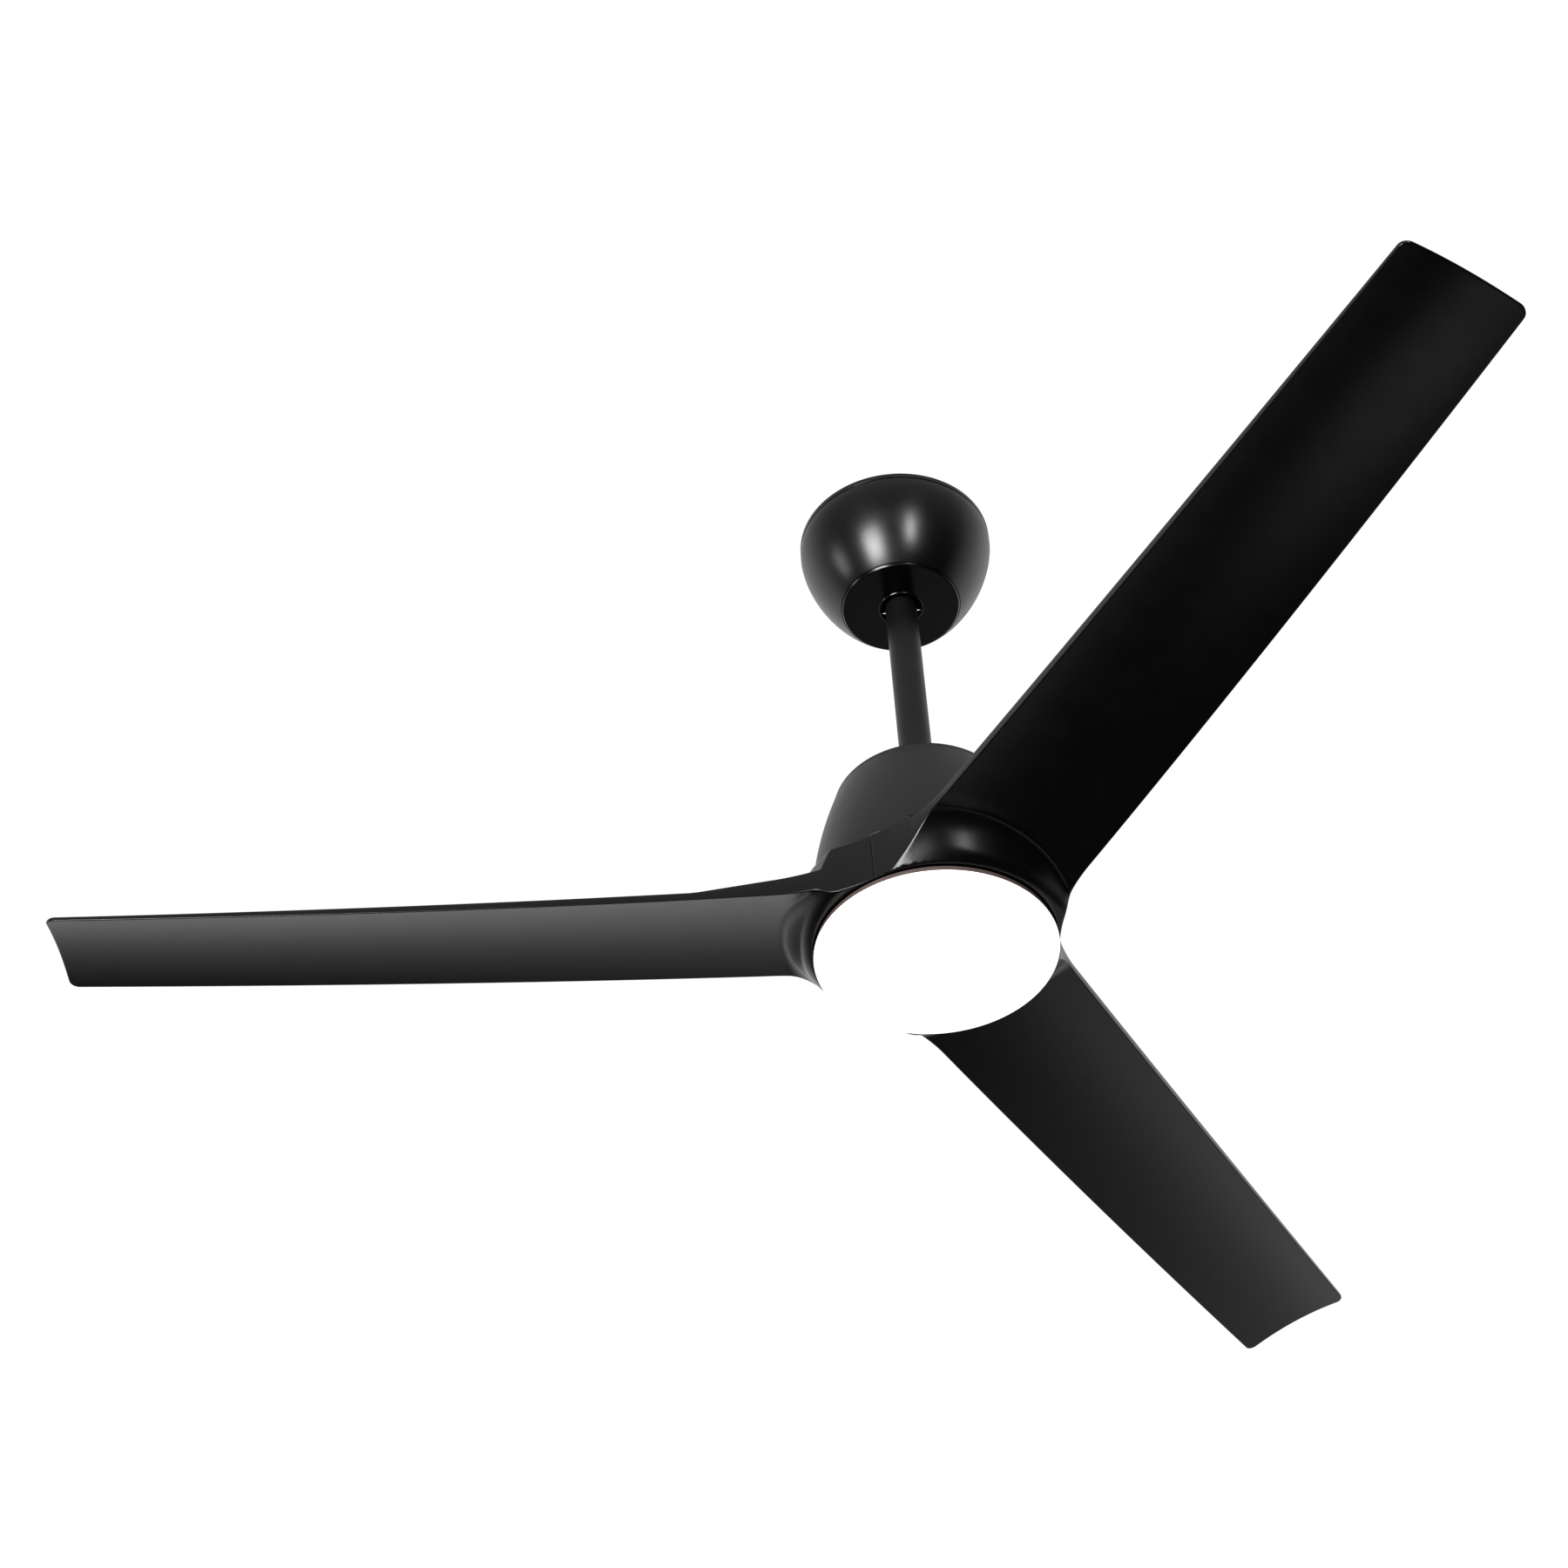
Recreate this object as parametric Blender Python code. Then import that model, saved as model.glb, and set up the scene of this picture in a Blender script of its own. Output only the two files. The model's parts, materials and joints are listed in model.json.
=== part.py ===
"""Ceiling fan with light: bracket, canopy, ball-hung downrod, outer-rotor motor, three blades, LED light.

Metres, +Z up. The origin is the centre of the hanger bracket's flat top, on the ceiling. The fan's
axis is Z, and everything hangs below zero.
"""

import math

import bmesh
import bpy
from mathutils import Matrix, Vector

# ---- Clearances -------------------------------------------------------------------------------
TOUCH = 0.0003              # between pieces that rest on each other
SLIP = 0.0010               # beside a piece that turns or slides
SWING = 0.0041              # round the rod where it swings through the canopy cover
PAST = 0.0010               # a cutter's end beyond the piece that it cuts

# ---- Canopy and ceiling bracket ---------------------------------------------------------------
CANOPY_RADIUS = 0.0801
CANOPY_HEIGHT = 0.0790
CANOPY_FOOT_RADIUS = 0.0479     # where the dome ends and the flat cover begins
CANOPY_COLLAR = 0.0105          # straight part below the ceiling
CANOPY_WALL = 0.0015
DOME_POWER = 1.527
TRIM_HEIGHT = 0.0050
TRIM_WALL = 0.0024
COVER_THICKNESS = 0.0017
COVER_LIP = 0.0014              # wall and drop of the lip round the rod
SCREW_ROOM = 0.0033             # between the canopy's inner flange and its cover
FLANGE_INNER_RADIUS = 0.0300
BRACKET_PLATE = 0.0025
BRACKET_HALF_WIDTH = 0.0280
BRACKET_HALF_LENGTH = 0.0550
BRACKET_SLOT_LENGTH = 0.0140
BRACKET_SLOT_WIDTH = 0.0060
BRACKET_SLOT_PLACE = 0.0440
LEG_PLACE = 0.0335              # from the axis to a leg's inner face
FOOT_LENGTH = 0.0100
FOOT_HALF_WIDTH = 0.0100
RECEIVER_SIZE = (0.0600, 0.0250, 0.0240)
TERMINAL_SIZE = (0.0140, 0.0240, 0.0100)

# ---- Hanger ball ------------------------------------------------------------------------------
BALL_RADIUS = 0.0220
BALL_DEPTH = 0.0380             # ball centre below the ceiling
BALL_TOP = 0.0060               # flat top above the centre
BALL_FOOT_RISE = 0.0010         # ball's flat foot above the cup's foot
LINER_WALL = 0.0020
LINER_TOP = BALL_RADIUS * 0.455     # liner's upper edge below the centre
CUP_TOP = BALL_RADIUS * 0.182       # cup's upper edge below the centre
CUP_SEAT_SHARE = 0.688          # of the cup's depth, where the bracket carries its flange
NECK_GAP = 0.0013               # rod to the liner's mouth
CUP_WALL = 0.0054
CUP_NECK_WALL = 0.0020
KEY_WIDTH = 0.0030
KEY_HEIGHT = 0.0080
KEY_DEPTH = 0.0025
KEY_ROOM = 0.0010
PIN_RADIUS = 0.0030
PIN_HALF_LENGTH = 0.0170
PIN_RISE = 0.0045               # cross pin above the ball's centre
BALL_SCREW_RADIUS = 0.0025

# ---- Downrod and leads ------------------------------------------------------------------------
ROD_RADIUS = 0.0131
ROD_WALL = 0.0022
ROD_STUB = 0.0120               # rod above the ball's centre
LEAD_RADIUS = 0.0026
LEAD_OFFSET = 0.0070            # leads beside the pins that cross the rod
LEAD_TAIL = 0.0080
CONNECTOR_SIZE = (0.0100, 0.0080, 0.0090)

# ---- Motor housing ----------------------------------------------------------------------------
ROOF_DEPTH = 0.3037             # roof's top below the ceiling
HOUSING_HEIGHT = 0.1058
HOUSING_RADIUS = 0.0900         # at the skirt's lower edge
HOUSING_TOP_RADIUS = 0.0688     # just under the shoulder
HOUSING_WALL = 0.0020
SHOULDER_RADIUS = 0.0060
FLARE_POWER = 1.75
ROOF_HOLE_GAP = 0.0014
ROOF_SCREW_CIRCLE = 0.0262

# ---- Yoke and shaft ---------------------------------------------------------------------------
YOKE_LENGTH = 0.0360
YOKE_WALL = 0.0052
YOKE_FOOT_STEP = 0.0020         # foot beyond the yoke's wall
YOKE_FLANGE_MARGIN = 0.0070     # flange beyond the housing screws
YOKE_FLANGE = 0.0035
ROD_SEAT_DEPTH = 0.0140         # shelf under the rod, below the yoke's top
LEAD_ROOM = 0.0120              # hollow between rod and shaft, where the leads come to the middle
CLEVIS_DEPTH = 0.0085
CLEVIS_OVERHANG = 0.0036
CLEVIS_HEAD = 0.0020
YOKE_SCREW_DEPTH = 0.0106
SHAFT_RADIUS = 0.0085
SHAFT_BORE = 0.0045
SHAFT_TIP_RADIUS = 0.0070       # below the shoulder that carries the light plate
SHAFT_TAIL = 0.0070             # thread below the light plate
COTTER_RADIUS = 0.0008
BOARD_THICKNESS = 0.0016
BOARD_DEPTH = 0.0240            # drive board's top below the yoke's top
BOARD_RIM_GAP = 0.0120

# ---- Motor ------------------------------------------------------------------------------------
ROTOR_WALL = 0.0025
ROTOR_SIDE_GAP = 0.0050         # to the housing's inside
ROTOR_HEAD_GAP = 0.0030         # under the yoke
BEARING_RADIUS = 0.0170
BEARING_HEIGHT = 0.0070
COLLAR_WALL = 0.0027
MAGNET_THICKNESS = 0.0028
MAGNET_OVERHANG = 0.0030        # magnets beyond each end of the stack
AIR_GAP = 0.0010
END_TURN_HEIGHT = 0.0080
END_TURN_GAP = 0.0060           # windings to the rotor shells
TOOTH_COUNT = 12
TOOTH_WIDTH = 0.0090
SHOE_THICKNESS = 0.0040
SHOE_GAP = 0.0040               # between neighbouring tooth shoes
STATOR_HUB_RADIUS = 0.0260
COIL_OVERHANG = 0.0030          # winding beyond a tooth's flank

# ---- Blades and hub ring ----------------------------------------------------------------------
BLADE_COUNT = 3
FIRST_BLADE_ANGLE = 64.55       # degrees from +X towards +Y
TIP_RADIUS = 0.6590
BLADE_HALF_WIDTH = 0.0625       # straight edges, carried back to the axis
BLADE_TAPER = 0.0229            # loss of half width per metre
TIP_CORNER = 0.0070
SKIRT_GAP = 0.0025              # housing skirt to the hub ring
HUB_LIP = 0.0025                # hub rim beyond the housing skirt
HUB_WALL = 0.0090
HUB_DEPTH = 0.0437              # ring's flat top to its lower rim
FLANGE_THICKNESS = 0.0045
FLANGE_RADIUS = 0.0420
SPLIT_GAP = 0.0003              # each side of a split line
TRAILING_DEPTH = 0.0366         # low edge's underside, below the ring's flat top
LEADING_DEPTH = 0.0122          # high edge's underside, below the ring's flat top
RISE_START = 0.1200
TRAILING_RISE = 0.0205          # upward sweep at the tip
LEADING_RISE = 0.0128
RISE_POWER = 1.7
CAMBER_SHARE = 0.10             # hollow of the underside over the half width
ROOT_THICKNESS = 0.0073
TIP_THICKNESS = 0.0037
THINNING_POWER = 1.8
TIP_ROUNDING = 0.0016           # thickness lost over the last stretch before the tip
BOSS_SKEW = 0.0036              # boss reaches further out along the low edge
BOSS_RADIUS = 0.0095            # round shoulder above the rim
BOSS_TURN = 65.0                # degrees through which the shoulder turns before it runs straight
BOSS_BLEND = 0.0120
EDGE_BOSS_START = 0.0020        # at the high edge the boss starts this far beyond the rim,
EDGE_BOSS_RISE = 0.69           # rises steeply and flattens out
EDGE_BOSS_POWER = 0.8
ROOT_MARGIN = 0.0002            # root fillet's nearest point beyond the rim
STEP_WIDTH = 0.0087             # flat top beyond the rim, before the step
STEP_SLOPE = 3.7
RAMP_DROP = 0.0173              # foot of the step below the flat top
RAMP_SLOPE = 0.1417
CARRIER_THICKNESS = 0.0050
CARRIER_EDGE_GAP = 0.0030
CARRIER_SCREW_CIRCLE = 0.0330
BLADE_SCREW_CIRCLE = 0.0620
BLADE_SCREW_SPREAD = 30.0       # degrees between the screws of one blade
BLADE_SCREWS = 3

# ---- Light ------------------------------------------------------------------------------------
LIGHT_RADIUS = 0.0920
LIGHT_PLATE = 0.0018
LIGHT_PLATE_DROP = 0.0120       # below the ring's flat top
PAN_GAP = 0.0030                # pan to the turning hub ring
PAN_HEIGHT = 0.0210
BEZEL_GAP = 0.0011              # bezel under the turning rim
BEZEL_FLANGE = 0.0041
BEZEL_WALL = 0.0024
BEZEL_RISE = 0.0140
DIFFUSER_WALL = 0.0018
DIFFUSER_RIM = 0.0011
DIFFUSER_DOME = 0.0028
DIFFUSER_SKIRT = 0.0099
LUG_COUNT = 3
LUG_ANGLE = 6.0
TWIST_ANGLE = 15.0
LUG_HEIGHT = 0.0020
LED_BOARD_DROP = 0.0225         # LED board's top below the light plate's top
LED_EDGE_GAP = 0.0080
LED_RING_COUNT = 12
LED_SIZE = (0.0035, 0.0028, 0.0008)
LED_RING_INSET = 0.0120
PILLAR_RADIUS = 0.0040
PILLAR_CIRCLE = 0.0560
DRIVER_SIZE = (0.0600, 0.0300, 0.0150)
DRIVER_PLACE = 0.0330
NUT_RADIUS = 0.0125
NUT_HEIGHT = 0.0050

# ---- Fasteners --------------------------------------------------------------------------------
SMALL_SHANK = 0.0015
SMALL_HEAD = 0.0030
SMALL_HEAD_HEIGHT = 0.0018
MAIN_SHANK = 0.0022
MAIN_HEAD = 0.0042
MAIN_HEAD_HEIGHT = 0.0024

# ---- Facets -----------------------------------------------------------------------------------
LARGE_ROUND = 32
MEDIUM_ROUND = 24
SMALL_ROUND = 8
FACET_TURN = math.radians(7)     # keeps a cutter's corners off its target's corners

# ---- Levels that follow from the sizes above --------------------------------------------------
BALL_CENTRE = Vector((0, 0, -BALL_DEPTH))
CUP_FOOT = math.sqrt((BALL_RADIUS + TOUCH) ** 2 - (ROD_RADIUS + NECK_GAP) ** 2)
CUP_SEAT = CUP_FOOT * CUP_SEAT_SHARE
BALL_FOOT = CUP_FOOT - BALL_FOOT_RISE
CUP_BORE = BALL_RADIUS + TOUCH + LINER_WALL + TOUCH
COVER_TOP = -CANOPY_HEIGHT + COVER_THICKNESS
FLANGE_BOTTOM = COVER_TOP + SCREW_ROOM
FLANGE_TOP = FLANGE_BOTTOM + CANOPY_WALL
FOOT_BOTTOM = FLANGE_TOP + TOUCH
ROOF_TOP = -ROOF_DEPTH
YOKE_TOP = ROOF_TOP - HOUSING_WALL - TOUCH
YOKE_BOTTOM = YOKE_TOP - YOKE_LENGTH
YOKE_BORE = ROD_RADIUS + TOUCH
YOKE_RADIUS = YOKE_BORE + YOKE_WALL
YOKE_FOOT_RADIUS = YOKE_RADIUS + YOKE_FOOT_STEP
ROD_BOTTOM = YOKE_TOP - ROD_SEAT_DEPTH + TOUCH
SHAFT_TOP = YOKE_TOP - ROD_SEAT_DEPTH - LEAD_ROOM
HOUSING_BOTTOM = ROOF_TOP - HOUSING_HEIGHT
RING_TOP = HOUSING_BOTTOM - SKIRT_GAP
RIM_LEVEL = RING_TOP - HUB_DEPTH
HUB_RADIUS = HOUSING_RADIUS + HUB_LIP
HUB_BORE = HUB_RADIUS - HUB_WALL
CARRIER_BOTTOM = RING_TOP + TOUCH
CARRIER_TOP = CARRIER_BOTTOM + CARRIER_THICKNESS
ROTOR_BOTTOM = CARRIER_TOP + TOUCH
ROTOR_TOP = YOKE_BOTTOM - ROTOR_HEAD_GAP
ROTOR_SPLIT = (ROTOR_TOP + ROTOR_BOTTOM) / 2
STACK_TOP = ROTOR_TOP - ROTOR_WALL - END_TURN_GAP - END_TURN_HEIGHT - TOUCH
STACK_BOTTOM = ROTOR_BOTTOM + ROTOR_WALL + END_TURN_GAP + END_TURN_HEIGHT + TOUCH
SHAFT_FIT = SHAFT_RADIUS + TOUCH
LIGHT_PLATE_TOP = RING_TOP - LIGHT_PLATE_DROP
LIGHT_PLATE_BOTTOM = LIGHT_PLATE_TOP - LIGHT_PLATE
PAN_RADIUS = HUB_BORE - PAN_GAP
BEZEL_TOP = RIM_LEVEL - BEZEL_GAP
BEZEL_BOTTOM = BEZEL_TOP - BEZEL_FLANGE
BEZEL_RADIUS = PAN_RADIUS - LIGHT_PLATE - TOUCH
BEZEL_BORE = BEZEL_RADIUS - BEZEL_WALL
SKIRT_RADIUS = BEZEL_BORE - SLIP
LED_BOARD_TOP = LIGHT_PLATE_TOP - LED_BOARD_DROP
LED_BOARD_RADIUS = SKIRT_RADIUS - DIFFUSER_WALL - LED_EDGE_GAP


def housing_radius(level):
    """Outer radius of the motor housing's wall at a level below its shoulder."""
    wall_top = ROOF_TOP - SHOULDER_RADIUS
    share = (wall_top - level) / (wall_top - HOUSING_BOTTOM)
    share = min(max(share, 0.0), 1.0)
    return HOUSING_TOP_RADIUS + (HOUSING_RADIUS - HOUSING_TOP_RADIUS) * (1 - (1 - share) ** FLARE_POWER)


def canopy_radius(level):
    """Outer radius of the canopy's dome: sqrt(1 - (depth share) ** power)."""
    depth = max(-CANOPY_COLLAR - level, 0.0)
    end = 1 - (CANOPY_FOOT_RADIUS / CANOPY_RADIUS) ** 2
    share = depth / (CANOPY_HEIGHT - CANOPY_COLLAR) * end ** (1 / DOME_POWER)
    return CANOPY_RADIUS * math.sqrt(max(1 - share ** DOME_POWER, 0.0))


ROTOR_RADIUS = housing_radius(ROTOR_TOP) - HOUSING_WALL - ROTOR_SIDE_GAP
MAGNET_RADIUS = ROTOR_RADIUS - ROTOR_WALL - TOUCH
STATOR_RADIUS = MAGNET_RADIUS - MAGNET_THICKNESS - AIR_GAP
CARRIER_RADIUS = HOUSING_RADIUS - HOUSING_WALL - CARRIER_EDGE_GAP


# ---- Scene, materials and mesh helpers --------------------------------------------------------
def clear_scene():
    """Remove every object, so that the script starts from an empty scene."""
    for item in list(bpy.data.objects):
        bpy.data.objects.remove(item, do_unlink=True)


def finish(name, colour, roughness, metallic=0.0):
    """Principled material of one colour, made once per name."""
    material = bpy.data.materials.get(name)
    if material is None:
        material = bpy.data.materials.new(name)
        material.use_nodes = True
        shader = material.node_tree.nodes["Principled BSDF"]
        shader.inputs["Base Color"].default_value = (*colour, 1.0)
        shader.inputs["Roughness"].default_value = roughness
        shader.inputs["Metallic"].default_value = metallic
        material.diffuse_color = (*colour, 1.0)
    return material


def black_satin():
    return finish("black_satin", (0.020, 0.020, 0.020), 0.38)


def black_gloss():
    return finish("black_gloss", (0.012, 0.012, 0.012), 0.22)


def black_matt():
    return finish("black_matt", (0.010, 0.010, 0.010), 0.60)


def black_plastic():
    return finish("black_plastic", (0.022, 0.022, 0.023), 0.45)


def zinc_steel():
    return finish("zinc_steel", (0.62, 0.63, 0.64), 0.35, 1.0)


def bright_steel():
    return finish("bright_steel", (0.70, 0.70, 0.71), 0.22, 1.0)


def cast_alloy():
    return finish("cast_alloy", (0.55, 0.56, 0.57), 0.45, 1.0)


def nylon():
    return finish("nylon", (0.80, 0.79, 0.74), 0.50)


def copper():
    return finish("copper", (0.72, 0.34, 0.18), 0.35, 1.0)


def lamination():
    return finish("lamination", (0.30, 0.30, 0.32), 0.50, 1.0)


def magnet_grey():
    return finish("magnet_grey", (0.10, 0.10, 0.11), 0.55)


def board_green():
    return finish("board_green", (0.05, 0.22, 0.10), 0.45)


def board_white():
    return finish("board_white", (0.85, 0.85, 0.83), 0.50)


def opal():
    return finish("opal", (0.96, 0.96, 0.94), 0.45)


def add_object(name, form, material, parent=None):
    """Turn a bmesh into a named object; world coordinates stay as they are under the parent."""
    bmesh.ops.recalc_face_normals(form, faces=form.faces)
    if form.calc_volume(signed=True) < 0:
        bmesh.ops.reverse_faces(form, faces=form.faces)
    mesh = bpy.data.meshes.new(name)
    form.to_mesh(mesh)
    form.free()
    item = bpy.data.objects.new(name, mesh)
    bpy.context.scene.collection.objects.link(item)
    mesh.shade_smooth()
    mesh.set_sharp_from_angle(angle=math.radians(35))
    if material is not None:
        mesh.materials.append(material)
    if parent is not None:
        attach(item, parent)
    return item


def attach(item, parent):
    """Parent an object to an empty and keep its place in the world."""
    item.parent = parent
    item.matrix_parent_inverse = Matrix.Translation(-Vector(parent.location))


def joint_empty(name, place):
    """Empty on a joint's axis, which the moving pieces hang from."""
    marker = bpy.data.objects.new(name, None)
    marker.location = place
    bpy.context.scene.collection.objects.link(marker)
    return marker


def turned_form(outline, segments, closed=True):
    """Spin an outline of (radius, level) points about Z; an open outline ends on the axis."""
    form = bmesh.new()
    points = [form.verts.new((radius, 0.0, level)) for radius, level in outline]
    pairs = list(zip(points, points[1:]))
    if closed:
        pairs.append((points[-1], points[0]))
    edges = [form.edges.new(pair) for pair in pairs]
    bmesh.ops.spin(form, geom=points + edges, axis=(0, 0, 1), cent=(0, 0, 0),
                   angle=2 * math.pi, steps=segments, use_merge=True)
    bmesh.ops.remove_doubles(form, verts=form.verts, dist=1e-6)
    return form


def turned(name, outline, material, parent, segments=LARGE_ROUND, closed=True):
    return add_object(name, turned_form(outline, segments, closed), material, parent)


def box_form(low, high):
    """Box between two opposite corners."""
    form = bmesh.new()
    bmesh.ops.create_cube(form, size=1.0)
    low = Vector(low)
    size = Vector(high) - low
    for vert in form.verts:
        vert.co = Vector(low[i] + (vert.co[i] + 0.5) * size[i] for i in range(3))
    return form


def rod_form(start, end, radius, segments=SMALL_ROUND):
    """Solid cylinder from one point to another."""
    start = Vector(start)
    span = Vector(end) - start
    form = bmesh.new()
    bmesh.ops.create_cone(form, cap_ends=True, segments=segments, radius1=radius, radius2=radius,
                          depth=span.length)
    turn = span.to_track_quat("Z", "Y").to_matrix().to_4x4() @ Matrix.Rotation(FACET_TURN, 4, "Z")
    bmesh.ops.transform(form, verts=form.verts, matrix=Matrix.Translation(start + span / 2) @ turn)
    return form


def sector_form(inner, outer, low, high, first_angle, last_angle, steps=6):
    """Solid arc of a ring between two angles in degrees."""
    form = bmesh.new()
    rows = []
    for step in range(steps + 1):
        angle = math.radians(first_angle + (last_angle - first_angle) * step / steps)
        row = []
        for radius, level in ((inner, low), (outer, low), (outer, high), (inner, high)):
            row.append(form.verts.new((radius * math.cos(angle), radius * math.sin(angle), level)))
        rows.append(row)
    for near, far in zip(rows, rows[1:]):
        for i in range(4):
            j = (i + 1) % 4
            form.faces.new((near[i], near[j], far[j], far[i]))
    form.faces.new(rows[0])
    form.faces.new(rows[-1])
    return form


def prism_form(points, low, high):
    """Upright prism over a closed plan outline of (x, y) points."""
    form = bmesh.new()
    base = [form.verts.new((x, y, low)) for x, y in points]
    face = form.faces.new(base)
    grown = bmesh.ops.extrude_face_region(form, geom=[face])
    lifted = [part for part in grown["geom"] if isinstance(part, bmesh.types.BMVert)]
    bmesh.ops.translate(form, verts=lifted, vec=(0, 0, high - low))
    return form


def combine(item, forms, operation):
    """Apply one exact Boolean per form to an object, and keep the result as its mesh."""
    for form in forms:
        tool = add_object("tool", form, None)
        tool.hide_render = True
        tool.display_type = "WIRE"
        step = item.modifiers.new("combine", "BOOLEAN")
        step.operation = operation
        step.solver = "EXACT"
        step.object = tool
        bpy.context.view_layer.update()
        evaluated = item.evaluated_get(bpy.context.evaluated_depsgraph_get())
        result = bpy.data.meshes.new_from_object(evaluated)
        item.modifiers.remove(step)
        old = item.data
        result.name = item.name
        item.data = result
        bpy.data.meshes.remove(old)
        bpy.data.objects.remove(tool, do_unlink=True)
    return item


def cut(item, *forms):
    return combine(item, forms, "DIFFERENCE")


def add(item, *forms):
    return combine(item, forms, "UNION")


def on_circle(radius, degrees, level=0.0):
    angle = math.radians(degrees)
    return Vector((radius * math.cos(angle), radius * math.sin(angle), level))


def spaced_angles(count, first=0.0):
    return [first + 360.0 / count * i for i in range(count)]


def screw(name, under_head, direction, shank, head, head_height, length, parent):
    """Pan-head screw: under_head is the centre of the face that bears on the work."""
    outline = [
        (0.0, length),
        (shank, length),
        (shank, 0.0),
        (head, 0.0),
        (head, -head_height * 0.5),
        (head * 0.7, -head_height),
        (0.0, -head_height),
    ]
    form = turned_form(outline, SMALL_ROUND, closed=False)
    turn = Vector(direction).to_track_quat("Z", "Y").to_matrix().to_4x4()
    bmesh.ops.transform(form, verts=form.verts, matrix=Matrix.Translation(under_head) @ turn)
    return add_object(name, form, zinc_steel(), parent)


# ---- Ceiling bracket and canopy ---------------------------------------------------------------
def make_hanger_bracket(parent):
    """Folded strip: top plate with two slots, legs, feet for the canopy, plate that carries the cup."""
    half = BRACKET_HALF_WIDTH
    leg_outer = LEG_PLACE + BRACKET_PLATE
    seat = BALL_CENTRE.z - CUP_SEAT - TOUCH
    form = box_form((-BRACKET_HALF_LENGTH, -half, -BRACKET_PLATE), (BRACKET_HALF_LENGTH, half, 0))
    bracket = add_object("hanger_bracket", form, zinc_steel(), parent)
    foot_top = FOOT_BOTTOM + BRACKET_PLATE
    for side in (-1, 1):
        inner, outer = sorted((side * LEG_PLACE, side * leg_outer))
        near, far = sorted((side * LEG_PLACE, side * (leg_outer + FOOT_LENGTH)))
        add(bracket, box_form((inner, -half, FOOT_BOTTOM), (outer, half, -BRACKET_PLATE / 2)))
        add(bracket, box_form((near, -FOOT_HALF_WIDTH, FOOT_BOTTOM), (far, FOOT_HALF_WIDTH, foot_top)))
    overlap = LEG_PLACE + BRACKET_PLATE / 2
    add(bracket, box_form((-overlap, -half, seat - BRACKET_PLATE), (overlap, half, seat)))
    neck = cup_neck_radius() + TOUCH
    slot = ROD_RADIUS + SLIP * 2
    cut(bracket, rod_form((0, 0, seat - 0.01), (0, 0, seat + 0.01), neck, MEDIUM_ROUND))
    cut(bracket, box_form((-slot, 0, seat - 0.01), (slot, half * 2, seat + 0.01)))
    half_slot = BRACKET_SLOT_LENGTH / 2
    for side in (-1, 1):
        x = side * BRACKET_SLOT_PLACE
        hole = rod_form((x, 0, -0.01), (x, 0, 0.01), BRACKET_SLOT_WIDTH / 2)
        bmesh.ops.scale(hole, verts=hole.verts, vec=(1, half_slot / (BRACKET_SLOT_WIDTH / 2), 1))
        cut(bracket, hole)
        x = side * canopy_screw_place()
        cut(bracket, rod_form((x, 0, FOOT_BOTTOM - 0.01), (x, 0, foot_top + PAST), SMALL_SHANK + TOUCH))
    return bracket


def canopy_screw_place():
    return LEG_PLACE + BRACKET_PLATE + FOOT_LENGTH / 2


def cup_neck_radius():
    depth = CUP_SEAT
    return math.sqrt(CUP_BORE ** 2 - depth ** 2) + CUP_NECK_WALL


def sphere_outline(radius, top, bottom, steps):
    """Points down a sphere about the ball's centre, between two depths below it."""
    first = math.asin(top / radius)
    last = math.asin(bottom / radius)
    points = []
    for step in range(steps + 1):
        angle = first + (last - first) * step / steps
        points.append((radius * math.cos(angle), BALL_CENTRE.z - radius * math.sin(angle)))
    return points


def make_hanger_cup(parent):
    """Cup that carries the ball: flange on the bracket, neck through it, key for the ball's groove."""
    centre = BALL_CENTRE.z
    neck = cup_neck_radius()
    outer = CUP_BORE + CUP_WALL
    outline = sphere_outline(CUP_BORE, CUP_TOP, CUP_FOOT, 6)
    outline += [
        (neck, centre - CUP_FOOT),
        (neck, centre - CUP_SEAT),
        (outer, centre - CUP_SEAT),
        (outer, centre - CUP_TOP),
    ]
    cup = turned("hanger_cup", outline, cast_alloy(), parent, MEDIUM_ROUND)
    slot = ROD_RADIUS + SLIP * 2
    cut(cup, box_form((-slot, 0, centre - 0.03), (slot, outer * 2, centre)))
    half_key = KEY_WIDTH / 2
    key_top = centre + KEY_HEIGHT / 2 - 0.0025
    key_low = key_top - KEY_HEIGHT
    tip = BALL_RADIUS - KEY_DEPTH
    post = box_form((-half_key, -outer + TOUCH, centre - CUP_SEAT + TOUCH), (half_key, -CUP_BORE - TOUCH, key_top))
    nib = box_form((-half_key, -outer + TOUCH * 2, key_low), (half_key, -tip, key_top - TOUCH))
    return add(cup, post, nib)


def make_cup_liner(parent):
    """Nylon shell between ball and cup, round on both sides, so that it rocks in the cup."""
    inner = BALL_RADIUS + TOUCH
    outer = inner + LINER_WALL
    outline = sphere_outline(outer, LINER_TOP, CUP_FOOT - TOUCH, 4)
    outline += reversed(sphere_outline(inner, LINER_TOP, CUP_FOOT - TOUCH, 4))
    return turned("cup_liner", outline, nylon(), parent, MEDIUM_ROUND)


def canopy_outline(offset, first, last, steps):
    """Points down the dome, moved inward by an offset."""
    points = []
    for step in range(steps + 1):
        level = first + (last - first) * step / steps
        points.append((canopy_radius(level) - offset, level))
    return points


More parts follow.
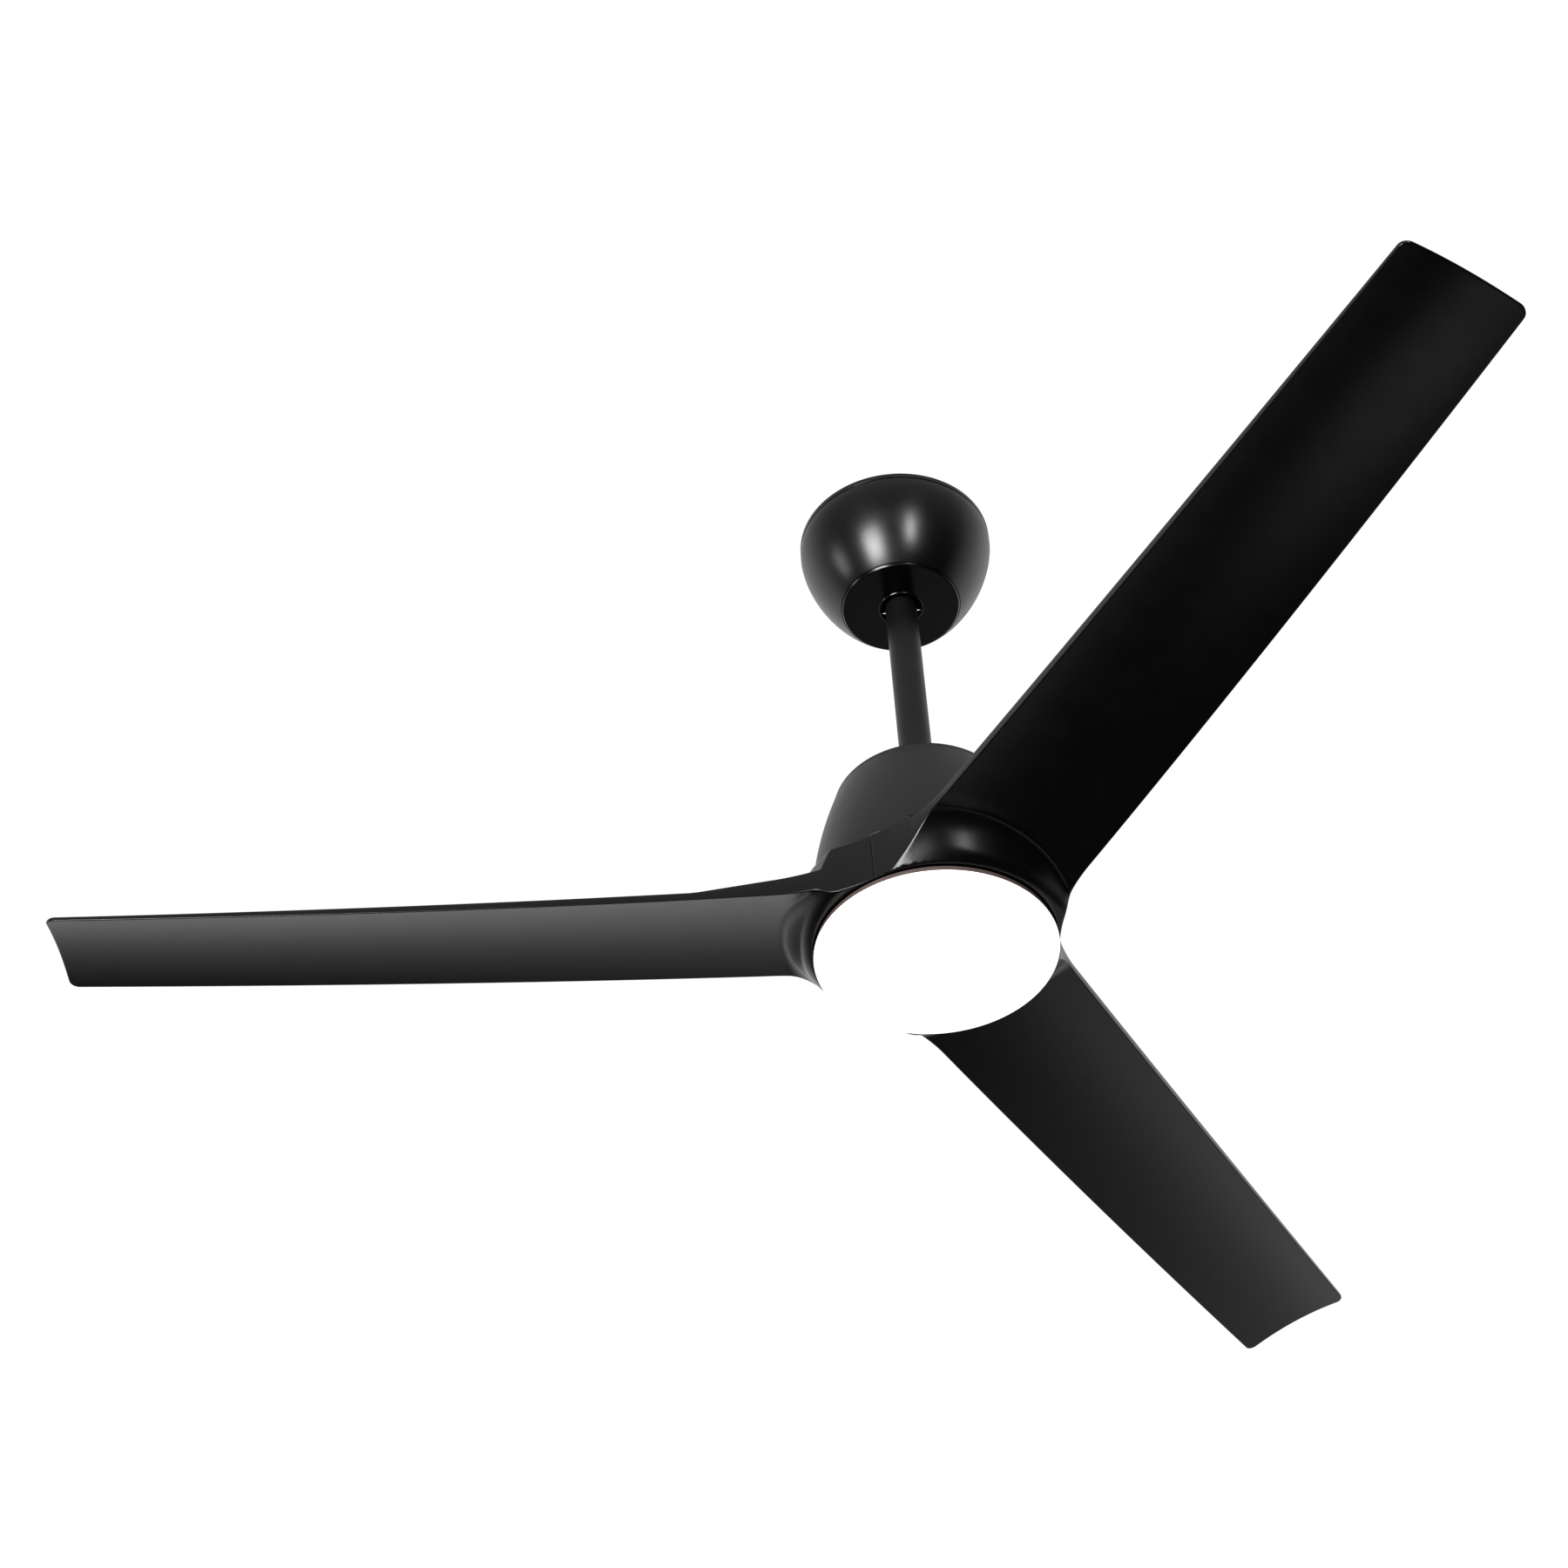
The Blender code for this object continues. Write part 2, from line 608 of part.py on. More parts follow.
def make_canopy_shell(parent):
    """Spun dome, open at the top, with an inner flange that the two canopy screws hold."""
    top = -TRIM_HEIGHT - TOUCH
    bottom = COVER_TOP + TOUCH
    bevel = 0.0006
    outline = [(CANOPY_RADIUS - bevel * 2, top), (CANOPY_RADIUS - bevel / 2, top - bevel)]
    outline += canopy_outline(0.0, -CANOPY_COLLAR, bottom, 8)
    outline += [(canopy_radius(bottom) - CANOPY_WALL, bottom)]
    outline += [(canopy_radius(FLANGE_BOTTOM) - CANOPY_WALL, FLANGE_BOTTOM)]
    outline += [(FLANGE_INNER_RADIUS, FLANGE_BOTTOM), (FLANGE_INNER_RADIUS, FLANGE_TOP)]
    outline += reversed(canopy_outline(CANOPY_WALL, -CANOPY_COLLAR, FLANGE_TOP, 4))
    outline += [(CANOPY_RADIUS - CANOPY_WALL - bevel, top)]
    shell = turned("canopy_shell", outline, black_gloss(), parent)
    for side in (-1, 1):
        x = side * canopy_screw_place()
        hole = rod_form((x, 0, FLANGE_BOTTOM - PAST), (x, 0, FLANGE_TOP + PAST), SMALL_SHANK + TOUCH)
        cut(shell, hole)
    return shell


def make_trim_ring(parent):
    """Ring between the canopy and the ceiling."""
    inner = CANOPY_RADIUS - TRIM_WALL
    bevel = 0.0008
    outline = [
        (CANOPY_RADIUS - bevel, -TOUCH),
        (CANOPY_RADIUS, -TOUCH - bevel),
        (CANOPY_RADIUS, -TRIM_HEIGHT + bevel),
        (CANOPY_RADIUS - bevel, -TRIM_HEIGHT),
        (inner, -TRIM_HEIGHT),
        (inner, -TOUCH),
    ]
    return turned("canopy_trim_ring", outline, black_gloss(), parent)


def make_canopy_cover(parent):
    """Flat cover with a snap skirt inside the shell and a lip round the rod's hole."""
    bottom = -CANOPY_HEIGHT
    hole = ROD_RADIUS + SWING
    lip = hole + COVER_LIP
    edge = canopy_radius(COVER_TOP) - TOUCH
    skirt = canopy_radius(COVER_TOP) - CANOPY_WALL - TOUCH - 0.0006
    rise = SCREW_ROOM * 0.6
    outline = [
        (hole, COVER_TOP),
        (hole, bottom - COVER_LIP * 0.6),
        (lip - COVER_LIP * 0.3, bottom - COVER_LIP * 0.6),
        (lip, bottom),
        (CANOPY_FOOT_RADIUS - 0.0006, bottom),
        (CANOPY_FOOT_RADIUS, bottom + 0.0004),
        (edge, COVER_TOP),
        (skirt, COVER_TOP),
        (skirt, COVER_TOP + rise),
        (skirt - COVER_THICKNESS / 2, COVER_TOP + rise),
        (skirt - COVER_THICKNESS / 2, COVER_TOP),
    ]
    return turned("canopy_cover", outline, black_matt(), parent)


def make_canopy_screws(parent):
    for index, side in enumerate((1, -1), start=1):
        place = (side * canopy_screw_place(), 0, FLANGE_BOTTOM - TOUCH)
        length = CANOPY_WALL + BRACKET_PLATE + 3 * TOUCH
        screw(f"canopy_screw_{index}", place, (0, 0, 1), SMALL_SHANK, SMALL_HEAD,
              SMALL_HEAD_HEIGHT, length, parent)


def make_wiring_boxes(parent):
    """Receiver beside the bracket, and the terminal block under its top plate."""
    length, width, height = RECEIVER_SIZE
    near = -BRACKET_HALF_WIDTH - TOUCH
    top = -BRACKET_PLATE
    form = box_form((-length / 2, near - width, top - height), (length / 2, near, top))
    bmesh.ops.bevel(form, geom=form.edges, offset=0.0015, segments=1, affect="EDGES")
    add_object("receiver_box", form, black_plastic(), parent)
    length, width, height = TERMINAL_SIZE
    low_x = -LEG_PLACE + TOUCH
    top = -BRACKET_PLATE - TOUCH
    form = box_form((low_x, -width / 2, top - height), (low_x + length, width / 2, top))
    block = add_object("terminal_block", form, nylon(), parent)
    for row in (-1, 0, 1):
        y = row * width / 3
        mouth = rod_form((low_x + length / 2, y, top - height / 2), (low_x + length * 2, y, top - height / 2), 0.0022)
        cut(block, mouth)


# ---- Ball, downrod and leads ------------------------------------------------------------------
def make_hanger_ball(parent):
    """Truncated ball on the rod: bore, groove for the cross pin, groove for the cup's key."""
    centre = BALL_CENTRE.z
    bore = ROD_RADIUS + TOUCH
    top_angle = math.asin(BALL_TOP / BALL_RADIUS)
    foot_angle = math.asin(BALL_FOOT / BALL_RADIUS)
    outline = [(bore, centre + BALL_TOP)]
    steps = 8
    for step in range(steps + 1):
        angle = top_angle - (top_angle + foot_angle) * step / steps
        outline.append((BALL_RADIUS * math.cos(angle), centre + BALL_RADIUS * math.sin(angle)))
    outline.append((bore, centre - BALL_FOOT))
    ball = turned("hanger_ball", outline, cast_alloy(), parent, MEDIUM_ROUND)
    half = PIN_RADIUS + TOUCH
    groove_low = centre + PIN_RISE - half
    cut(ball, box_form((-0.03, -half, groove_low), (0.03, half, centre + BALL_TOP * 2)))
    half_key = KEY_WIDTH / 2 + KEY_ROOM
    key_floor = BALL_RADIUS - KEY_DEPTH - KEY_ROOM
    key_low = centre - KEY_HEIGHT
    cut(ball, box_form((-half_key, -0.03, key_low - KEY_ROOM), (half_key, -key_floor, centre + BALL_TOP * 2)))
    hole = BALL_SCREW_RADIUS + TOUCH
    return cut(ball, rod_form((0, bore - PAST, centre - hole), (0, 0.03, centre - hole), hole))


def make_ball_fasteners(parent):
    """Cross pin that carries the rod on the ball, and the set screw that grips it."""
    pin_level = BALL_CENTRE.z + PIN_RISE
    pin = rod_form((-PIN_HALF_LENGTH, 0, pin_level), (PIN_HALF_LENGTH, 0, pin_level), PIN_RADIUS)
    add_object("hanger_pin", pin, bright_steel(), parent)
    level = BALL_CENTRE.z - BALL_SCREW_RADIUS - TOUCH
    start = ROD_RADIUS + TOUCH
    end = BALL_RADIUS - 0.0015
    add_object("ball_set_screw", rod_form((0, start, level), (0, end, level), BALL_SCREW_RADIUS),
               zinc_steel(), parent)


def make_downrod(parent):
    """Tube from the ball to the yoke, crossed by the hanger pin and the clevis pin."""
    inner = ROD_RADIUS - ROD_WALL
    top = BALL_CENTRE.z + ROD_STUB
    outline = [(inner, top), (inner, ROD_BOTTOM), (ROD_RADIUS, ROD_BOTTOM), (ROD_RADIUS, top)]
    rod = turned("downrod", outline, black_satin(), parent, MEDIUM_ROUND)
    hole = PIN_RADIUS + TOUCH
    for level in (BALL_CENTRE.z + PIN_RISE, YOKE_TOP - CLEVIS_DEPTH):
        cut(rod, rod_form((-0.03, 0, level), (0.03, 0, level), hole))
    return rod


def tube(name, route, radius, material, parent, resolution=2):
    """Round cord along a route, as a curve with a bevel and filled caps."""
    curve = bpy.data.curves.new(name, "CURVE")
    curve.dimensions = "3D"
    curve.bevel_depth = radius
    curve.bevel_resolution = resolution
    curve.use_fill_caps = True
    spline = curve.splines.new("POLY")
    spline.points.add(len(route) - 1)
    for point, place in zip(spline.points, route):
        point.co = (*place, 1.0)
    item = bpy.data.objects.new(name, curve)
    curve.materials.append(material)
    bpy.context.scene.collection.objects.link(item)
    attach(item, parent)
    return item


def make_leads(parent):
    """Leads from the connector down the rod, through the shaft, to the LED driver."""
    top = BALL_CENTRE.z + ROD_STUB + LEAD_TAIL
    bend_top = YOKE_TOP - CLEVIS_DEPTH - PIN_RADIUS - SLIP
    bend_foot = SHAFT_TOP - SLIP
    shaft_end = LIGHT_PLATE_BOTTOM - SHAFT_TAIL
    driver_face = DRIVER_PLACE - DRIVER_SIZE[1] / 2 - TOUCH
    turn = shaft_end - 2 * LEAD_RADIUS
    route = [Vector((0, LEAD_OFFSET, top)), Vector((0, LEAD_OFFSET, (top + bend_top) / 2))]
    steps = 8
    for step in range(steps + 1):
        share = step / steps
        ease = share * share * (3 - 2 * share)
        route.append(Vector((0, LEAD_OFFSET * (1 - ease), bend_top + (bend_foot - bend_top) * share)))
    route.append(Vector((0, 0, (bend_foot + shaft_end) / 2)))
    swing = driver_face / 2
    for step in range(steps + 1):
        angle = math.pi / 2 * step / steps
        drop = (shaft_end - turn) * math.sin(angle)
        route.append(Vector((0, swing * (1 - math.cos(angle)), shaft_end - drop)))
    route.append(Vector((0, driver_face, turn)))
    tube("fan_leads", route, LEAD_RADIUS, finish("lead_grey", (0.25, 0.25, 0.26), 0.5), parent)
    width, depth, height = CONNECTOR_SIZE
    low = (-width / 2, LEAD_OFFSET - depth / 2, top + TOUCH)
    high = (width / 2, LEAD_OFFSET + depth / 2, top + TOUCH + height)
    form = box_form(low, high)
    bmesh.ops.bevel(form, geom=form.edges, offset=0.0008, segments=1, affect="EDGES")
    return add_object("lead_connector", form, nylon(), parent)


# ---- Yoke, shaft and housing ------------------------------------------------------------------
def make_shaft_yoke(parent):
    """Coupling: rod bore above, shaft bore below, flange under the housing's roof."""
    flange = ROOF_SCREW_CIRCLE + YOKE_FLANGE_MARGIN
    shelf = YOKE_TOP - ROD_SEAT_DEPTH
    board = YOKE_TOP - BOARD_DEPTH - BOARD_THICKNESS - TOUCH
    outline = [
        (YOKE_BORE, YOKE_TOP),
        (YOKE_BORE, shelf),
        (ROD_RADIUS - ROD_WALL, shelf),
        (ROD_RADIUS - ROD_WALL, SHAFT_TOP + TOUCH),
        (SHAFT_FIT, SHAFT_TOP + TOUCH),
        (SHAFT_FIT, YOKE_BOTTOM),
        (YOKE_FOOT_RADIUS, YOKE_BOTTOM),
        (YOKE_FOOT_RADIUS, board),
        (YOKE_RADIUS, board),
        (YOKE_RADIUS, YOKE_TOP - YOKE_FLANGE),
        (flange, YOKE_TOP - YOKE_FLANGE),
        (flange, YOKE_TOP),
    ]
    yoke = turned("shaft_yoke", outline, cast_alloy(), parent, MEDIUM_ROUND)
    pin_level = YOKE_TOP - CLEVIS_DEPTH
    reach = YOKE_FOOT_RADIUS
    cut(yoke, rod_form((-reach, 0, pin_level), (reach, 0, pin_level), PIN_RADIUS + TOUCH))
    screw_level = YOKE_TOP - YOKE_SCREW_DEPTH
    cut(yoke, rod_form((0, -reach, screw_level), (0, reach, screw_level), MAIN_SHANK + TOUCH))
    for degrees in spaced_angles(3, 90):
        x, y, _ = on_circle(ROOF_SCREW_CIRCLE, degrees)
        low = YOKE_TOP - YOKE_FLANGE - PAST
        cut(yoke, rod_form((x, y, low), (x, y, YOKE_TOP + PAST), SMALL_SHANK + TOUCH))
    return yoke


def make_yoke_fasteners(parent):
    """Clevis pin with its cotter, and the two set screws."""
    level = YOKE_TOP - CLEVIS_DEPTH
    head = YOKE_RADIUS + TOUCH
    end = -YOKE_RADIUS - CLEVIS_OVERHANG
    outline = [
        (0.0, end),
        (PIN_RADIUS, end),
        (PIN_RADIUS, head),
        (PIN_RADIUS * 1.5, head),
        (PIN_RADIUS * 1.5, head + CLEVIS_HEAD),
        (0.0, head + CLEVIS_HEAD),
    ]
    form = turned_form(outline, SMALL_ROUND, closed=False)
    turn = Vector((1, 0, 0)).to_track_quat("Z", "Y").to_matrix().to_4x4()
    bmesh.ops.transform(form, verts=form.verts, matrix=Matrix.Translation((0, 0, level)) @ turn)
    pin = add_object("clevis_pin", form, bright_steel(), parent)
    hole_x = (end - YOKE_RADIUS) / 2
    cut(pin, rod_form((hole_x, 0, level - 0.01), (hole_x, 0, level + 0.01), COTTER_RADIUS + TOUCH))
    outer = end - TOUCH - COTTER_RADIUS
    bend = (hole_x - outer) / 2
    drop = PIN_RADIUS + COTTER_RADIUS + TOUCH
    route = [Vector((hole_x, 0, level + drop)), Vector((hole_x, 0, level)), Vector((hole_x, 0, level - drop))]
    for step in range(1, 6):
        angle = math.pi * step / 6
        route.append(Vector((hole_x - bend * (1 - math.cos(angle)), 0, level - drop - bend * math.sin(angle))))
    route += [Vector((outer, 0, level - drop)), Vector((outer, 0, level + drop))]
    tube("cotter_pin", route, COTTER_RADIUS, bright_steel(), parent, resolution=0)
    screw_level = YOKE_TOP - YOKE_SCREW_DEPTH
    for index, side in enumerate((1, -1), start=1):
        place = Vector((0, side * (YOKE_RADIUS + TOUCH), screw_level))
        length = YOKE_RADIUS - ROD_RADIUS
        screw(f"yoke_set_screw_{index}", place, (0, -side, 0), MAIN_SHANK, MAIN_SHANK * 1.3,
              MAIN_HEAD_HEIGHT, length, parent)


def make_motor_shaft(parent):
    """Hollow fixed shaft, stepped where it carries the light plate."""
    top = SHAFT_TOP
    shoulder = LIGHT_PLATE_TOP + TOUCH
    bottom = LIGHT_PLATE_BOTTOM - SHAFT_TAIL
    outline = [
        (SHAFT_BORE, top),
        (SHAFT_BORE, bottom),
        (SHAFT_TIP_RADIUS, bottom),
        (SHAFT_TIP_RADIUS, shoulder),
        (SHAFT_RADIUS, shoulder),
        (SHAFT_RADIUS, top),
    ]
    return turned("motor_shaft", outline, bright_steel(), parent, MEDIUM_ROUND)


def make_motor_housing(parent):
    """Bell: flat roof, rounded shoulder, flaring wall open at the bottom."""
    hole = ROD_RADIUS + ROOF_HOLE_GAP
    centre_radius = HOUSING_TOP_RADIUS - SHOULDER_RADIUS
    centre_level = ROOF_TOP - SHOULDER_RADIUS
    arc_steps = 4
    wall_steps = 6
    outline = [(hole, ROOF_TOP)]
    for step in range(arc_steps + 1):
        angle = math.pi / 2 * (1 - step / arc_steps)
        outline.append((centre_radius + SHOULDER_RADIUS * math.cos(angle),
                        centre_level + SHOULDER_RADIUS * math.sin(angle)))
    for step in range(1, wall_steps + 1):
        level = centre_level + (HOUSING_BOTTOM - centre_level) * step / wall_steps
        outline.append((housing_radius(level), level))
    for step in range(wall_steps, -1, -2):
        level = centre_level + (HOUSING_BOTTOM - centre_level) * step / wall_steps
        outline.append((housing_radius(level) - HOUSING_WALL, level))
    inner_shoulder = SHOULDER_RADIUS - HOUSING_WALL
    for step in range(1, 3):
        angle = math.pi / 2 * step / 2
        outline.append((centre_radius + inner_shoulder * math.cos(angle),
                        centre_level + inner_shoulder * math.sin(angle)))
    outline.append((hole, ROOF_TOP - HOUSING_WALL))
    housing = turned("motor_housing", outline, black_satin(), parent)
    for degrees in spaced_angles(3, 90):
        x, y, _ = on_circle(ROOF_SCREW_CIRCLE, degrees)
        low = ROOF_TOP - HOUSING_WALL - PAST
        cut(housing, rod_form((x, y, low), (x, y, ROOF_TOP + PAST), SMALL_SHANK + TOUCH))
    return housing


def make_housing_screws(parent):
    for index, degrees in enumerate(spaced_angles(3, 90), start=1):
        place = on_circle(ROOF_SCREW_CIRCLE, degrees, ROOF_TOP + TOUCH)
        screw(f"housing_screw_{index}", place, (0, 0, -1), SMALL_SHANK, SMALL_HEAD,
              SMALL_HEAD_HEIGHT, HOUSING_WALL + YOKE_FLANGE, parent)


def make_drive_board(parent):
    """Ring-shaped circuit board on the yoke's step, with capacitors and a choke."""
    top = YOKE_TOP - BOARD_DEPTH
    bottom = top - BOARD_THICKNESS
    inner = YOKE_RADIUS + TOUCH
    outer = housing_radius(top) - HOUSING_WALL - BOARD_RIM_GAP
    outline = [(inner, top), (inner, bottom), (outer, bottom), (outer, top)]
    board = turned("drive_board", outline, board_green(), parent, MEDIUM_ROUND)
    middle = (YOKE_FOOT_RADIUS + outer) / 2
    for degrees, radius, height in ((20, 0.0050, 0.011), (70, 0.0050, 0.011), (150, 0.0075, 0.009),
                                    (230, 0.0040, 0.008), (300, 0.0060, 0.006)):
        x, y, _ = on_circle(middle, degrees)
        add(board, rod_form((x, y, top - BOARD_THICKNESS / 2), (x, y, top + height), radius))
    return board


# ---- Motor ------------------------------------------------------------------------------------
def rotor_shell_outline(face, inward):
    """Cup with a bearing collar; inward is -1 for the upper shell and 1 for the lower one."""
    inner_face = face + inward * ROTOR_WALL
    split = ROTOR_SPLIT - inward * TOUCH / 2
    pocket = BEARING_RADIUS + TOUCH
    collar = pocket + COLLAR_WALL
    collar_end = inner_face + inward * (BEARING_HEIGHT + TOUCH)
    side = ROTOR_RADIUS - ROTOR_WALL
    return [
        (SHAFT_FIT + SLIP, face),
        (ROTOR_RADIUS, face),
        (ROTOR_RADIUS, split),
        (side, split),
        (side, inner_face),
        (collar, inner_face),
        (collar, collar_end),
        (pocket, collar_end),
        (pocket, inner_face),
        (SHAFT_FIT + SLIP, inner_face),
    ]


def make_rotor_shells(parent):
    turned("rotor_upper_shell", rotor_shell_outline(ROTOR_TOP, -1), cast_alloy(), parent, MEDIUM_ROUND)
    outline = rotor_shell_outline(ROTOR_BOTTOM, 1)
    lower = turned("rotor_lower_shell", outline, cast_alloy(), parent, MEDIUM_ROUND)
    for degrees in spaced_angles(3, FIRST_BLADE_ANGLE):
        x, y, _ = on_circle(CARRIER_SCREW_CIRCLE, degrees)
        top = ROTOR_BOTTOM + ROTOR_WALL + PAST
        cut(lower, rod_form((x, y, ROTOR_BOTTOM - PAST), (x, y, top), MAIN_SHANK + TOUCH))


def make_bearings(parent):
    for name, face, inward in (("upper_bearing", ROTOR_TOP, -1), ("lower_bearing", ROTOR_BOTTOM, 1)):
        near = face + inward * (ROTOR_WALL + TOUCH)
        far = near + inward * BEARING_HEIGHT
        outline = [(SHAFT_FIT, near), (BEARING_RADIUS, near), (BEARING_RADIUS, far), (SHAFT_FIT, far)]
        turned(name, outline, bright_steel(), parent, MEDIUM_ROUND)


def make_magnet_ring(parent):
    inner = MAGNET_RADIUS - MAGNET_THICKNESS
    top = STACK_TOP + MAGNET_OVERHANG
    bottom = STACK_BOTTOM - MAGNET_OVERHANG
    outline = [(inner, top), (MAGNET_RADIUS, top), (MAGNET_RADIUS, bottom), (inner, bottom)]
    return turned("magnet_ring", outline, magnet_grey(), parent, MEDIUM_ROUND)


def make_stator_core(parent):
    """Laminated stack: hub with a tooth and a curved shoe for each winding."""
    shoe_inner = STATOR_RADIUS - SHOE_THICKNESS
    half_tooth = TOOTH_WIDTH / 2
    pitch = 2 * math.pi / TOOTH_COUNT
    half_shoe = pitch / 2 - math.asin(SHOE_GAP / 2 / STATOR_RADIUS)
    points = []
    for index in range(TOOTH_COUNT):
        middle = index * pitch
        root = math.asin(half_tooth / STATOR_HUB_RADIUS)
        neck = math.asin(half_tooth / shoe_inner)
        outer_steps = [-half_shoe, -half_shoe / 2, 0, half_shoe / 2, half_shoe]
        corners = [(STATOR_HUB_RADIUS, -root), (shoe_inner, -neck), (shoe_inner, -half_shoe)]
        corners += [(STATOR_RADIUS, step) for step in outer_steps]
        corners += [(shoe_inner, half_shoe), (shoe_inner, neck), (STATOR_HUB_RADIUS, root)]
        for radius, angle in corners:
            points.append((radius * math.cos(middle + angle), radius * math.sin(middle + angle)))
    core = add_object("stator_core", prism_form(points, STACK_BOTTOM, STACK_TOP), lamination(), parent)
    bore = rod_form((0, 0, STACK_BOTTOM - PAST), (0, 0, STACK_TOP + PAST), SHAFT_FIT, MEDIUM_ROUND)
    return cut(core, bore)


def make_windings(parent):
    """End turns above and below the stack: one crown of rounded coils each."""
    half_coil = TOOTH_WIDTH / 2 + COIL_OVERHANG
    outer = STATOR_RADIUS - SHOE_THICKNESS - SLIP
    pitch = 2 * math.pi / TOOTH_COUNT
    inner = (half_coil + 0.0005) / math.tan(pitch / 2)
    ring_inner = STATOR_HUB_RADIUS
    points = []
    for index in range(TOOTH_COUNT):
        middle = index * pitch
        root = math.asin(half_coil / math.hypot(inner, half_coil))
        tip = math.asin(half_coil / outer)
        corners = [(math.hypot(inner, half_coil), -root), (outer - 0.002, -tip), (outer, -tip * 0.6)]
        corners += [(outer, tip * 0.6), (outer - 0.002, tip), (math.hypot(inner, half_coil), root)]
        for radius, angle in corners:
            points.append((radius * math.cos(middle + angle), radius * math.sin(middle + angle)))
    levels = (("windings_upper", STACK_TOP + TOUCH), ("windings_lower", STACK_BOTTOM - TOUCH - END_TURN_HEIGHT))
    for name, low in levels:
        form = prism_form(points, low, low + END_TURN_HEIGHT)
        crown = add_object(name, form, copper(), parent)
        hole = rod_form((0, 0, low - PAST), (0, 0, low + END_TURN_HEIGHT + PAST), ring_inner, MEDIUM_ROUND)
        cut(crown, hole)


# ---- Blades -----------------------------------------------------------------------------------
def half_width(along):
    """Half the blade's width at a distance along its axis."""
    return BLADE_HALF_WIDTH - BLADE_TAPER * along


def smooth_min(first, second, reach):
    """Smaller of two values, rounded where they are nearly equal."""
    blend = max(reach - abs(first - second), 0.0) / reach
    return min(first, second) - blend * blend * reach / 4


def chord_share(along, across):
    """-1 at the leading, high edge and 1 at the trailing, low edge."""
    return min(max(across / half_width(along), -1.0), 1.0)


def blade_underside(along, across):
    """Underside without the hub: sloped across, swept up to the tip, hollow between its edges."""
    share = chord_share(along, across)
    sweep = max(along - RISE_START, 0.0) / (TIP_RADIUS - RISE_START)
    low = RING_TOP - TRAILING_DEPTH + TRAILING_RISE * sweep ** RISE_POWER
    high = RING_TOP - LEADING_DEPTH + LEADING_RISE * sweep ** RISE_POWER
    hollow = CAMBER_SHARE * half_width(along) * (1 - share * share)
    return high + (low - high) * (1 + share) / 2 + hollow


def boss_shoulder(out):
    """Rise above the rim at a distance beyond it: a circular arc, then a straight slope."""
    turn = math.radians(BOSS_TURN)
    arc = min(out, BOSS_RADIUS * math.sin(turn))
    return BOSS_RADIUS - math.sqrt(BOSS_RADIUS ** 2 - arc ** 2) + (out - arc) * math.tan(turn)


def underside(along, across):
    """Underside with the hub's boss: a round shoulder above the rim, filleted into the blade.

    Towards the high edge the shoulder gives way to a hollow curve that leaves the rim steeply.
    """
    share = chord_share(along, across)
    reach = math.hypot(along, across)
    out = max(reach - HUB_RADIUS - BOSS_SKEW * max(share, 0.0), 0.0)
    shoulder = boss_shoulder(out)
    hollow = EDGE_BOSS_RISE * max(reach - HUB_RADIUS - EDGE_BOSS_START, 0.0) ** EDGE_BOSS_POWER
    boss = RIM_LEVEL + shoulder + (hollow - shoulder) * max(-share, 0.0) ** 2
    return max(smooth_min(blade_underside(along, across), boss, BOSS_BLEND), RIM_LEVEL)


def topside(along, across):
    """Top: blade thickness, a ramp along the low edge, and the ring's flat top with its step."""
    reach = math.hypot(along, across)
    sweep = max(along - RISE_START, 0.0) / (TIP_RADIUS - RISE_START)
    thickness = TIP_THICKNESS + (ROOT_THICKNESS - TIP_THICKNESS) * (1 - sweep ** THINNING_POWER)
    corner = max(along - TIP_RADIUS + TIP_CORNER, 0.0) / TIP_CORNER
    blade = blade_underside(along, across) + thickness - TIP_ROUNDING * corner ** 2
    step = RING_TOP - STEP_SLOPE * max(reach - HUB_RADIUS - STEP_WIDTH, 0.0)
    foot = HUB_RADIUS + STEP_WIDTH + RAMP_DROP / STEP_SLOPE
    ramp = RING_TOP - RAMP_DROP - RAMP_SLOPE * (reach - foot)
    return max(blade, step, ramp)


def root_arc():
    """Plan fillet between neighbouring blades: its tangent point, centre and radius."""
    half_pitch = math.pi / BLADE_COUNT
    slant = math.atan(BLADE_TAPER)
    opening = half_pitch + slant
    corner = BLADE_HALF_WIDTH / (math.sin(half_pitch) + BLADE_TAPER * math.cos(half_pitch))
    nearest = HUB_RADIUS + ROOT_MARGIN
    radius = (nearest - corner) / (1 / math.sin(opening) - 1)
    centre = corner + radius / math.sin(opening)
    tangent = corner * math.cos(half_pitch) + radius / math.tan(opening) * math.cos(slant)
    return tangent, centre, radius


